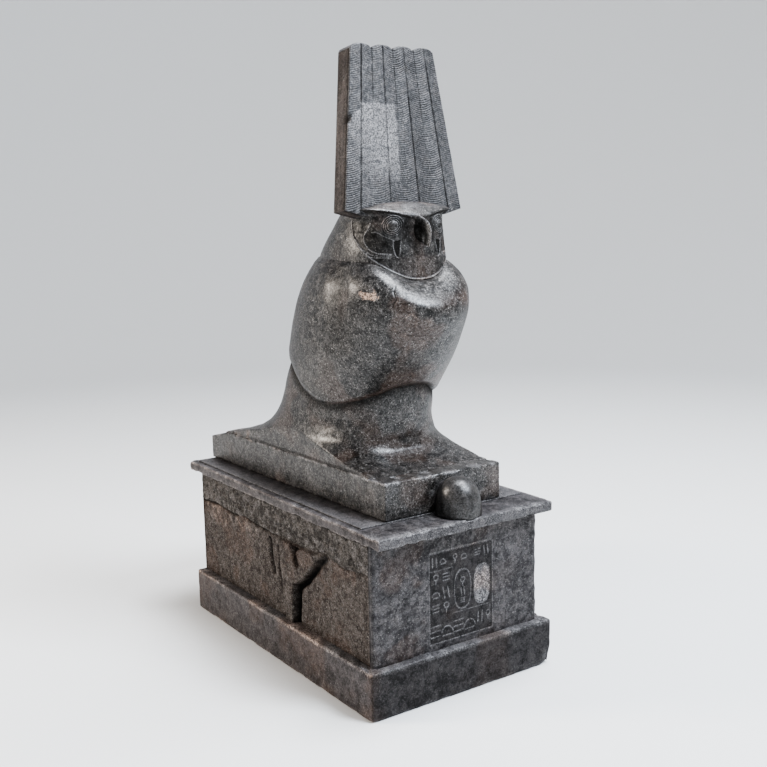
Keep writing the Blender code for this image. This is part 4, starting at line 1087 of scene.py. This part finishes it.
def build_plinth():
    """The plinth: a dressed block, dented along its edges, with a chipped front corner."""
    low = (-PLINTH_HALF, PLINTH_FRONT, PEDESTAL_LOW[2])
    high = (PLINTH_HALF, PLINTH_REAR, PLINTH_HEIGHT)
    skin, edges = slab_rings(low, high, PLINTH_ROUND, *PLINTH_GRID)
    rough = 0.0008 * cloud(skin, 0.060, 3, 71) + 0.0008 * cloud(skin, 0.010, 3, 72)
    edge = bump(skin[..., 2] - PLINTH_HEIGHT, 0.008) + 0.4 * bump(skin[..., 2], 0.008)
    dent = patches(0.08, 0.32, skin, 0.022, 3, 73) * edge
    corner = np.hypot(skin[..., 0] - PLINTH_HALF, skin[..., 1] - PLINTH_FRONT)
    chipped = between(0.020, 0.004, corner) * between(0.034, 0.0, skin[..., 2])
    lift = np.minimum(rough, 0.0) - 0.0022 * dent - 0.0050 * chipped
    skin = pushed(skin, lift)
    # Pale wear with painted highlights on the rounded edges, painted light on the top ledge, and
    # painted shade on the front face
    pale = patches(-0.05, 0.3, skin, 0.012, 4, 74)
    wear_and_highlight = 0.10 * pale + 0.3 * dent + 0.75 * edges * (0.4 + 0.6 * pale)
    ledge = between(PLINTH_HEIGHT - 0.0015, PLINTH_HEIGHT - 0.0005, skin[..., 2])
    wear_and_highlight = np.maximum(wear_and_highlight, 0.16 * ledge * (0.5 + 0.5 * pale))
    lower_front = between(PLINTH_FRONT + 0.004, PLINTH_FRONT, skin[..., 1]) * (1 - ledge)
    beside = between(PLINTH_HALF - 0.004, PLINTH_HALF - 0.001, np.abs(skin[..., 0]))
    stained = patches(0.0, 0.3, skin, 0.06, 3, 75)
    fields = {"wear_and_highlight": wear_and_highlight, "warm": 0.30 * stained + beside * (0.20 + 0.15 * stained),
              "shade": 0.50 * lower_front + 0.10 * ledge}
    of_pedestal(add_tower("pedestal_plinth", skin, "dressed pedestal stone", fields))


def build_slab():
    """The slab, dented along both edges, and the shallow bed on it."""
    low = (-SLAB_HALF, SLAB_FRONT, DADO_TOP)
    high = (SLAB_HALF, SLAB_REAR, SLAB_TOP)
    skin, edges = slab_rings(low, high, EDGE_ROUND, *SLAB_GRID)
    rough = 0.0005 * cloud(skin, 0.040, 3, 81) + 0.0006 * cloud(skin, 0.008, 3, 82)
    edge = bump(skin[..., 2] - SLAB_TOP, 0.006) + bump(skin[..., 2] - DADO_TOP, 0.006)
    dent = patches(0.06, 0.30, skin, 0.020, 3, 83) * edge
    lift = np.minimum(rough, 0.0) - 0.0018 * dent
    skin = pushed(skin, lift)
    # Pale wear with painted highlights on the rounded edges, a painted light front face, and painted
    # shade beside the block's foot
    pale = patches(-0.1, 0.3, skin, 0.012, 4, 84)
    wear_and_highlight = 0.12 * pale + 0.3 * dent + 0.80 * edges * (0.35 + 0.65 * pale)
    front = between(SLAB_FRONT + 0.004, SLAB_FRONT, skin[..., 1])
    wear_and_highlight = np.maximum(wear_and_highlight, 0.32 * front)
    beside = bump(block_half_width(skin[..., 1]) + 0.004 - np.abs(skin[..., 0]), 0.016)
    shade = 0.20 * beside * between(SLAB_TOP - 0.001, SLAB_TOP - 0.0003, skin[..., 2])
    warm = 0.22 * between(SLAB_HALF - 0.003, SLAB_HALF - 0.001, np.abs(skin[..., 0]))
    fields = {"wear_and_highlight": wear_and_highlight, "shade": shade, "warm": warm}
    of_pedestal(add_tower("pedestal_slab", skin, "dressed pedestal stone", fields))
    bed_low = (-SLAB_HALF + BED_MARGIN, BLOCK_FRONT, SLAB_TOP - 0.002)
    bed_high = (SLAB_HALF - BED_MARGIN, SLAB_REAR - BED_MARGIN, BED_TOP)
    bed, edges = slab_rings(bed_low, bed_high, BED_ROUND, *BED_GRID)
    bed[..., 2] += np.minimum(0.0003 * cloud(bed, 0.02, 3, 85), 0.0)
    # Painted highlight on the bed's edges and painted shade beside the block
    wear_and_highlight = 0.12 * patches(-0.1, 0.3, bed, 0.012, 4, 86) + 0.35 * edges
    shade = 0.25 * bump(block_half_width(bed[..., 1]) + 0.003 - np.abs(bed[..., 0]), 0.018)
    fields = {"wear_and_highlight": wear_and_highlight, "shade": shade}
    of_pedestal(add_tower("pedestal_bed", bed, "dressed pedestal stone", fields))


def build_stub():
    """Rounded stub: (r/R)^n + (h/H)^n = 1 with n STUB_FULLNESS, polished on top."""
    around, up = STUB_STEPS
    turn = np.linspace(-np.pi, np.pi, around, endpoint=False)
    t = np.linspace(0.0, np.pi / 2, up)[:, None]
    power = 2.0 / STUB_FULLNESS
    radius = STUB_RADIUS * np.abs(np.cos(t)) ** power
    radius[-1] = STUB_RADIUS * 0.01
    height = SLAB_TOP - 0.001 + (STUB_HEIGHT + 0.001) * np.sin(t) ** power
    x = STUB_CENTRE[0] + radius * np.sin(turn)
    y = STUB_CENTRE[1] - radius * np.cos(turn)
    skin = stacked(x, y, height)
    lift = np.minimum(0.0006 * cloud(skin, 0.02, 3, 91), 0.0)
    skin = pushed(skin, lift)
    wear_and_highlight = 0.06 * patches(0.0, 0.3, skin, 0.012, 4, 92)
    of_pedestal(add_tower("pedestal_stub", skin, "smooth stub stone", {"wear_and_highlight": wear_and_highlight}))


def side_relief(y, z):
    """Raised and cut parts of the sides. Returns metres out from the face, how much painted
    shade the cuts get, and how much painted shade the face gets close beside a raised part."""
    flat = stacked(y, z)
    wander = 0.0014 * noise(stacked(y, z, 0.0), 0.012, 101)
    nearest = np.full(y.shape, -1.0)
    for outline in (STEM, BRANCH):
        outline = np.array(outline)
        gap = line_distance(flat, np.vstack((outline, outline[:1]))) + wander
        nearest = np.maximum(nearest, np.where(inside(flat, outline), gap, -gap))
    raised = between(-0.0012, 0.0022, nearest)
    beside = bump(nearest + 0.0010, 0.0070) * (1 - raised)
    deep = np.zeros(y.shape)
    for line, half in ((FOOT_GROOVE, 0.0085), (BRANCH_GROOVE, 0.0075)):
        deep = np.maximum(deep, bump(line_distance(flat, through(line)) + wander, half))
    deep = deep * (1 - 0.55 * between(0.150, 0.190, z) * between(-0.08, -0.13, y))
    for line in SLOTS:
        gap = line_distance(flat, through(line)) + wander
        deep = np.maximum(deep, between(SLOT_HALF, SLOT_HALF - 0.0030, gap))
    return RELIEF_RAISE * raised * (1 - deep) - RELIEF_CUT * deep, deep, beside


def build_dado():
    """The dado: straight rings moved out at the sides by the relief below the crevice and
    by lumps over the whole height."""
    low = (-DADO_HALF, DADO_FRONT + FRONT_FACING, PLINTH_HEIGHT - 0.001)
    high = (DADO_HALF, DADO_REAR, DADO_TOP + 0.001)
    plan = rounded_plan(low, high, EDGE_ROUND, DADO_STEP)
    heights = np.linspace(low[2], high[2], DADO_ROWS)
    skin = stacked(plan[None, :, 0], plan[None, :, 1], heights[:, None])
    side = np.abs(skin[..., 0]) > DADO_HALF - 0.0005
    outward = np.where(side, np.sign(skin[..., 0]), 0.0)
    y, z = skin[..., 1], skin[..., 2]
    crevice_line = DADO_TOP - FRIEZE_HEIGHT + 0.0050 * noise(
        skin * np.array((0.2, 1, 0)), 0.050, 111) + 0.0018 * noise(skin, 0.009, 118)
    frieze = between(crevice_line - 0.0014, crevice_line + 0.0014, z)
    relief, deep, beside = side_relief(y, z)
    lumps = 0.0016 * cloud(skin, 0.024, 4, 112) + 0.0012 * cloud(skin, 0.006, 3, 113)
    pecked = 0.0020 * patches(0.05, 0.30, skin, 0.010, 3, 114) * (0.35 + 0.65 * frieze)
    open_at = between(-0.45, 0.10, noise(skin, 0.040, 115)) * (0.45 + 0.55 * between(-0.02, 0.05, y))
    crevice = bump(z - crevice_line + 0.0010, 0.0030) * open_at
    lift = -FRIEZE_PROJECTION * (1 - frieze) + relief * (1 - frieze)
    lift += lumps * (0.45 + 0.55 * frieze) - pecked - 0.0042 * crevice
    skin[..., 0] += outward * np.minimum(lift, 0.0055)
    rear = y > DADO_REAR - 0.0005
    skin[..., 1] += np.where(rear, np.minimum(lumps, 0.0), 0.0)
    pale = patches(-0.05, 0.30, skin, 0.010, 4, 116)
    band = between(0.160, 0.190, z) * between(-0.05, 0.08, y) + frieze
    wear_and_highlight = pale * (0.08 + 0.26 * np.clip(band, 0, 1))
    # Painted shade in the crevice, the cuts, beside the raised parts and under the slab; the patches
    # are dark stone
    shade = 0.95 * crevice + (1 - frieze) * (0.95 * deep + 0.50 * beside)
    shade += 0.36 * patches(0.02, 0.32, skin, 0.011, 4, 119) * (0.35 + 0.65 * frieze)
    under_slab = bump(z - DADO_TOP, 0.006)
    shade = np.maximum(shade, 0.55 * under_slab)
    warm = (1 - frieze) * (0.20 + 0.35 * patches(0.0, 0.25, skin, 0.05, 3, 117)) + 0.08
    fields = {"wear_and_highlight": wear_and_highlight * (1 - np.clip(shade, 0, 1)), "shade": shade, "warm": warm}
    of_pedestal(add_tower("pedestal_dado", skin, "tooled pedestal stone", fields))


def panel_strokes():
    """Rows of short strokes that stand in for writing: pairs of bars, arcs, rings and dots
    on a simple rhythm, none of them a letter. Each is a line in the panel's own metres,
    with its half width."""
    draw = np.random.default_rng(11)
    strokes = []

    def bars(x, z, size):                 # two leaning bars
        lean = draw.uniform(-0.12, 0.12) * size
        for beside in (-0.26, 0.26):
            strokes.append((((x + beside * size - lean, z - size / 2),
                             (x + beside * size + lean, z + size / 2)), 0.0013))

    def arc(x, z, size):                  # an arc over a short bar
        a = np.linspace(0.3, 2.8, 9)
        line = np.column_stack((x + 0.42 * size * np.cos(a), z + 0.5 * size * (np.sin(a) - 0.6)))
        strokes.append((line, 0.0012))
        strokes.append((((x - 0.3 * size, z - 0.32 * size), (x + 0.3 * size, z - 0.30 * size)), 0.0012))

    def ring(x, z, size):                 # a ring on a stem
        a = np.linspace(0, 2 * np.pi, 13)
        strokes.append((np.column_stack((x + 0.26 * size * np.cos(a),
                                         z + 0.16 * size + 0.26 * size * np.sin(a))), 0.0011))
        strokes.append((((x, z - 0.20 * size), (x, z - 0.48 * size)), 0.0014))

    def level_bars(x, z, size):           # three level bars
        for rise in (-0.28, 0.02, 0.32):
            strokes.append((((x - 0.34 * size, z + rise * size),
                             (x + 0.34 * size, z + (rise + 0.03) * size)), 0.0011))

    marks = (bars, arc, ring, level_bars)
    rows = [(share, 0.895, 0.0135) for share in (0.08, 0.21, 0.40, 0.54, 0.76, 0.90)]
    rows += [(share, level, 0.0165) for level in (0.71, 0.54, 0.38) for share in (0.10, 0.26)]
    rows += [(share, 0.125, 0.0270) for share in (0.09, 0.27, 0.45, 0.63)]
    rows += [(share, 0.160, 0.0150) for share in (0.80, 0.93)]
    last = -1
    for share, level, size in rows:
        kind = int(draw.integers(0, len(marks) - 1))
        kind = kind + 1 if kind >= last and last >= 0 else kind
        last = kind
        marks[kind]((share - 0.5) * PANEL_WIDTH, level * PANEL_HEIGHT, size)
    oval_x, oval_z = (RING_OVAL - 0.5) * PANEL_WIDTH, OVAL_LEVEL * PANEL_HEIGHT
    ring(oval_x, oval_z + 0.012, 0.015)
    bars(oval_x, oval_z - 0.004, 0.011)
    level_bars(oval_x, oval_z - 0.018, 0.010)
    return strokes


def build_front():
    """The inscribed front: a thin block whose face is a fine grid, finest over the panel."""
    half = DADO_HALF - 0.0003
    left, right = PANEL_MIDDLE - PANEL_WIDTH / 2, PANEL_MIDDLE + PANEL_WIDTH / 2
    margin = 0.004
    xs = np.concatenate((np.linspace(-half, left - margin, BESIDE_PANEL_STEPS, endpoint=False),
                         np.linspace(left - margin, right + margin, PANEL_STEPS, endpoint=False),
                         np.linspace(right + margin, half, BESIDE_PANEL_STEPS)))
    zs = np.linspace(PLINTH_HEIGHT - 0.001, DADO_TOP + 0.001, FRONT_ROWS)
    x, z = np.meshgrid(xs, zs)
    face = stacked(x, DADO_FRONT, z)
    px, pz = x - PANEL_MIDDLE, z - PANEL_FOOT
    flat = stacked(px, pz)
    wobble = 0.0003 * noise(face, 0.004, 121)
    whole = np.array((PANEL_WIDTH, PANEL_HEIGHT))
    lines = (((-0.5, 0.0), (0.5, 0.0), (0.5, 1.0), (-0.5, 1.0), (-0.5, 0.0)),
             ((-0.5, 0.80), (-0.14, 0.80)), ((-0.14, 0.285), (0.44, 0.285)),
             ((0.46, 0.285), (0.46, 0.06)))
    cut = np.zeros(x.shape)
    for line in lines:
        cut = np.maximum(cut, 0.8 * bump(line_distance(flat, np.array(line) * whole) + wobble,
                                         0.0012))
    head_band = bump(pz - PANEL_HEIGHT + 0.0006, 0.0030) * (np.abs(px) < PANEL_WIDTH / 2)
    cut = np.maximum(cut, 0.75 * head_band)
    oval_z = pz - OVAL_LEVEL * PANEL_HEIGHT
    ovals = []
    for share in (RING_OVAL, BARE_OVAL):
        oval_x = px - (share - 0.5) * PANEL_WIDTH
        ovals.append(((np.abs(oval_x) / (OVAL_WIDTH / 2)) ** 2.6
                      + (np.abs(oval_z) / (OVAL_HEIGHT / 2)) ** 2.6) ** (1 / 2.6))
    for oval in ovals:
        cut = np.maximum(cut, 0.9 * bump((oval - 1.0) * OVAL_WIDTH / 2 + wobble, 0.0013))
    bare = between(1.0, 0.92, ovals[1])
    for line, width in panel_strokes():
        cut = np.maximum(cut, bump(line_distance(flat, np.array(line)) + wobble, width * 1.50))
    cut = cut * (0.80 + 0.20 * noise(face, 0.006, 128))
    tooling = 0.0006 * cloud(face, 0.030, 4, 122) + 0.0005 * cloud(face, 0.005, 3, 123)
    pitted = between(-0.25, 0.25, noise(face, 0.0026, 124) + 0.4 * noise(face, 0.0050, 129))
    # The bird's left edge of the front is broken
    to_side = half - x
    ragged = between(0.008, 0.0, to_side)
    bite = (0.0030 + 0.0036 * cloud(face * np.array((0.2, 1, 1)), 0.022, 4, 125)) * ragged
    lift = np.minimum(tooling, 0.0) - 0.0013 * cut - 0.0014 * bare * (1 - 0.5 * pitted)
    lift -= 0.0016 * between(0.004, 0.0, half - np.abs(x))
    face[..., 0] -= np.clip(bite, 0.0, 0.0050)
    face[..., 1] -= lift
    pale = patches(-0.05, 0.30, face, 0.010, 4, 126)
    in_panel = (np.abs(px) < PANEL_WIDTH / 2) & (pz > 0) & (pz < PANEL_HEIGHT)
    ground = np.where(in_panel, 0.04, 0.13)
    wear_and_highlight = np.maximum(ground * pale, 0.95 * cut)
    wear_and_highlight = np.maximum(wear_and_highlight, bare * (0.35 + 0.65 * pitted))
    wear_and_highlight = np.maximum(wear_and_highlight, 0.25 * ragged * pale)
    shade = np.where(in_panel, 0.50, 0.0) * (1 - bare) * (1 - np.clip(cut, 0, 1))
    # Painted shadow under the slab's overhang
    shade = np.maximum(shade, 0.5 * bump(z - DADO_TOP, 0.006))
    warm = 0.34 * patches(-0.05, 0.25, face, 0.04, 4, 127) * between(0.16, -0.02, x)
    rows, columns = x.shape
    rim = np.concatenate((np.arange(columns), columns * np.arange(2, rows) - 1,
                          np.arange(rows * columns - 1, (rows - 1) * columns - 1, -1),
                          columns * np.arange(rows - 2, 0, -1)))
    behind = face.reshape(-1, 3)[rim].copy()
    behind[:, 1] = DADO_FRONT + FRONT_FACING + 0.002
    count = rows * columns
    faces = grid_faces(rows, columns, closed=False).tolist()
    back = count + np.arange(len(rim))
    faces += stacked(rim, back, np.roll(back, -1), np.roll(rim, -1)).tolist()
    faces.append(back[::-1].tolist())
    points = np.vstack((face.reshape(-1, 3), behind))
    fields = {"wear_and_highlight": wear_and_highlight, "shade": shade, "warm": warm}
    of_pedestal(add_piece("pedestal_inscribed_front", points, faces, "dressed pedestal stone", fields))


# Stage

CAMERA_PLACE = (-0.9382, -1.4391, 0.7126)
CAMERA_TURN = math.radians(-34.767)
CAMERA_FALL = math.radians(9.433)
CAMERA_ROLL = math.radians(-1.115)
CAMERA_LENS = 49.666
SENSOR_WIDTH = 36.0
LOOK_AT = np.array((0.0, 0.0, 0.45))
FLOOR_REACH = 5.0             # radius of the backdrop
FLOOR_SWEEP = 2.0
FLOOR_RISE = 2.6
FLOOR_TONE = (0.70, 0.70, 0.69)
ROOM_TONE = (0.86, 0.90, 1.0)
FLOOR_ROUGHNESS = 0.9
VIEW_LOOK = "AgX - Medium High Contrast"
# Key, fill and overhead light: name, place, width and colour
LIGHTS = (
    ("cool key", (0.9, -2.0, 2.8), 1.0, (0.84, 0.91, 1.0)),
    ("warm fill", (-2.3, 1.2, 1.5), 0.6, (1.0, 0.90, 0.79)),
    ("overhead", (0.6, -0.40, 3.2), 1.2, (0.92, 0.95, 1.0)),
)


def looking(forward, place, roll=0.0):
    """The matrix of a thing that looks along forward: right is forward crossed with Z, up
    is right crossed with forward, and both are turned by the roll."""
    right = np.cross(forward, (0.0, 0.0, 1.0))
    right /= np.linalg.norm(right)
    up = np.cross(right, forward)
    c, s = math.cos(roll), math.sin(roll)
    right, up = c * right + s * up, c * up - s * right
    rows = [(right[i], up[i], -forward[i], place[i]) for i in range(3)]
    return Matrix((*rows, (0.0, 0.0, 0.0, 1.0)))


def camera_matrix():
    """The camera's turn about Z and its downward tilt give the way that it looks."""
    forward = np.array((-math.sin(CAMERA_TURN) * math.cos(CAMERA_FALL),
                        math.cos(CAMERA_TURN) * math.cos(CAMERA_FALL),
                        -math.sin(CAMERA_FALL)))
    return looking(forward, CAMERA_PLACE, CAMERA_ROLL)


def add_area_light(name, place, size, colour, power):
    """A square soft light that faces the statue."""
    lamp = bpy.data.lights.new(name, "AREA")
    lamp.shape = "SQUARE"
    lamp.size = size
    lamp.energy = power
    lamp.color = colour
    toward = LOOK_AT - np.array(place)
    toward /= np.linalg.norm(toward)
    add_object(name, lamp).matrix_world = looking(toward, place)


def build_stage():
    """A pale floor that curves up into a round backdrop, lights and the camera."""
    stage = bpy.context.scene.falcon_stage
    bend = np.linspace(0, np.pi / 2, 20)
    flat_reach = FLOOR_REACH - FLOOR_SWEEP
    radius = np.concatenate((np.linspace(0.02, flat_reach, 10)[:-1],
                             flat_reach + FLOOR_SWEEP * np.sin(bend), (FLOOR_REACH,)))
    height = np.concatenate((np.zeros(9), FLOOR_SWEEP * (1 - np.cos(bend)), (FLOOR_RISE,)))
    turn = np.linspace(-np.pi, np.pi, 96, endpoint=False)
    points = stacked(radius[:, None] * np.sin(turn), -radius[:, None] * np.cos(turn),
                     height[:, None] + PEDESTAL_LOW[2])
    faces = grid_faces(len(radius), len(turn))[:, ::-1].tolist()
    faces.append(list(range(len(turn))))
    mesh = smooth_mesh("floor", points, faces)
    floor = add_object("floor", mesh)
    finish = bpy.data.materials.new("pale floor")
    finish.use_nodes = True
    shader = finish.node_tree.nodes["Principled BSDF"]
    shader.inputs["Base Color"].default_value = (*FLOOR_TONE, 1.0)
    shader.inputs["Roughness"].default_value = FLOOR_ROUGHNESS
    mesh.materials.append(finish)
    world = bpy.data.worlds.new("studio")
    world.use_nodes = True
    room = world.node_tree.nodes["Background"]
    room.inputs["Color"].default_value = (*ROOM_TONE, 1.0)
    room.inputs["Strength"].default_value = stage.room_light
    bpy.context.scene.world = world
    bpy.context.scene.view_settings.look = VIEW_LOOK
    for light, power in zip(LIGHTS, (stage.key_power, stage.fill_power, stage.top_power)):
        add_area_light(*light, power)
    lens = bpy.data.cameras.new("camera")
    lens.lens = CAMERA_LENS
    lens.sensor_width = SENSOR_WIDTH
    camera = add_object("camera", lens)
    camera.matrix_world = camera_matrix()
    bpy.context.scene.camera = camera


# Settings, operators and panel


class FalconSizes(bpy.types.PropertyGroup):
    barb_pitch: FloatProperty(
        name="Barb Pitch", description="Distance between the crown's feather lines",
        default=0.0032, min=0.0015, unit="LENGTH")
    barb_depth: FloatProperty(
        name="Barb Depth", description="Depth of the crown's feather lines",
        default=0.0011, min=0.0, unit="LENGTH")
    barb_sag: FloatProperty(
        name="Barb Sag", description="How far the feather lines hang between two ribs",
        default=0.0070, unit="LENGTH")
    rib_width: FloatProperty(
        name="Rib Width", description="Half width of the cut along each plume's rib",
        default=0.0017, min=0.0005, unit="LENGTH")
    rib_depth: FloatProperty(
        name="Rib Depth", description="Depth of the cut along each plume's rib",
        default=0.0017, min=0.0, unit="LENGTH")
    wing_hollow: FloatProperty(
        name="Wing Hollow", description="Depth of the hollow between wing and breast",
        default=0.0036, min=0.0, unit="LENGTH")
    hem_round: FloatProperty(
        name="Hem Depth", description="How far the breast's lower edge rolls back",
        default=0.0065, min=0.0, unit="LENGTH")
    hem_reach: FloatProperty(
        name="Hem Reach", description="How high above its edge the breast starts to roll back",
        default=0.018, min=0.001, unit="LENGTH")


class FalconStone(bpy.types.PropertyGroup):
    warm_tone: FloatVectorProperty(
        name="Warm Tone", description="Brown mottling in the stone", subtype="COLOR",
        default=(0.034, 0.027, 0.022), min=0.0, max=1.0)
    stain_tone: FloatVectorProperty(
        name="Stain", description="Reddish stains", subtype="COLOR",
        default=(0.056, 0.031, 0.021), min=0.0, max=1.0)
    # Also the colour of the painted highlights on edges, ridges and lit faces
    rubbed_and_highlight_tone: FloatVectorProperty(
        name="Rubbed Stone", description="Pale rubbed and pecked stone", subtype="COLOR",
        default=(0.250, 0.243, 0.245), min=0.0, max=1.0)
    broken_tone: FloatVectorProperty(
        name="Broken Stone", description="Pinkish stone where a spot is broken off",
        subtype="COLOR", default=(0.600, 0.430, 0.330), min=0.0, max=1.0)
    crystal_tone: FloatVectorProperty(
        name="Crystals", description="Pale crystals in the stone", subtype="COLOR",
        default=(0.300, 0.285, 0.272), min=0.0, max=1.0)


class FalconStage(bpy.types.PropertyGroup):
    key_power: FloatProperty(
        name="Key Light", description="Cool light from the front right", default=185.0,
        unit="POWER")
    fill_power: FloatProperty(
        name="Fill Light", description="Warm light from the left", default=68.0, unit="POWER")
    top_power: FloatProperty(
        name="Overhead Light", description="Soft light from above", default=150.0, unit="POWER")
    room_light: FloatProperty(
        name="Room Light", description="Even light from all round", default=0.30)


class FALCON_OT_body(bpy.types.Operator):
    """Build the breast and wings, the legs and the tail"""
    bl_idname = "falcon.body"
    bl_label = "Body, Legs and Tail"

    def execute(self, context):
        build_breast()
        build_legs()
        return {"FINISHED"}


class FALCON_OT_block(bpy.types.Operator):
    """Build the low block under the falcon"""
    bl_idname = "falcon.block"
    bl_label = "Block"

    def execute(self, context):
        build_block()
        return {"FINISHED"}


class FALCON_OT_head(bpy.types.Operator):
    """Build the head with its face, and the beak"""
    bl_idname = "falcon.head"
    bl_label = "Head and Beak"

    def execute(self, context):
        build_head()
        build_beak()
        return {"FINISHED"}


class FALCON_OT_crown(bpy.types.Operator):
    """Build the plume crown"""
    bl_idname = "falcon.crown"
    bl_label = "Plume Crown"

    def execute(self, context):
        build_crown()
        return {"FINISHED"}


class FALCON_OT_pedestal(bpy.types.Operator):
    """Build the plinth, the dado with its reliefs, the slab with its bed, and the stub"""
    bl_idname = "falcon.pedestal"
    bl_label = "Pedestal"

    def execute(self, context):
        build_plinth()
        build_dado()
        build_slab()
        build_stub()
        return {"FINISHED"}


class FALCON_OT_front(bpy.types.Operator):
    """Build the inscribed front of the pedestal"""
    bl_idname = "falcon.front"
    bl_label = "Inscribed Front"

    def execute(self, context):
        build_front()
        return {"FINISHED"}


class FALCON_OT_stage(bpy.types.Operator):
    """Build the floor, the lights and the camera"""
    bl_idname = "falcon.stage"
    bl_label = "Stage"

    def execute(self, context):
        build_stage()
        return {"FINISHED"}


OPERATORS = (FALCON_OT_stage, FALCON_OT_body, FALCON_OT_block, FALCON_OT_head,
             FALCON_OT_crown, FALCON_OT_pedestal, FALCON_OT_front)


class FALCON_PT_panel(bpy.types.Panel):
    """Lists the statue's pieces, sizes and colours"""
    bl_idname = "FALCON_PT_panel"
    bl_label = "Falcon Statue"
    bl_space_type = "VIEW_3D"
    bl_region_type = "UI"
    bl_category = "Falcon Statue"

    def draw(self, context):
        for operator in OPERATORS:
            self.layout.operator(operator.bl_idname)
        for settings in (context.scene.falcon_sizes, context.scene.falcon_stone,
                         context.scene.falcon_stage):
            box = self.layout.box()
            for name in settings.__annotations__:
                box.prop(settings, name)


SETTINGS = {"falcon_sizes": FalconSizes, "falcon_stone": FalconStone,
            "falcon_stage": FalconStage}


def register():
    for kind in (*SETTINGS.values(), *OPERATORS, FALCON_PT_panel):
        bpy.utils.register_class(kind)
    for name, kind in SETTINGS.items():
        setattr(bpy.types.Scene, name, PointerProperty(type=kind))


def unregister():
    for name in SETTINGS:
        delattr(bpy.types.Scene, name)
    for kind in (FALCON_PT_panel, *reversed(OPERATORS), *SETTINGS.values()):
        bpy.utils.unregister_class(kind)


def main():
    register()
    bpy.ops.falcon.stage()
    bpy.ops.falcon.body()
    bpy.ops.falcon.block()
    bpy.ops.falcon.head()
    bpy.ops.falcon.crown()
    bpy.ops.falcon.pedestal()
    bpy.ops.falcon.front()


if __name__ == "__main__":
    main()
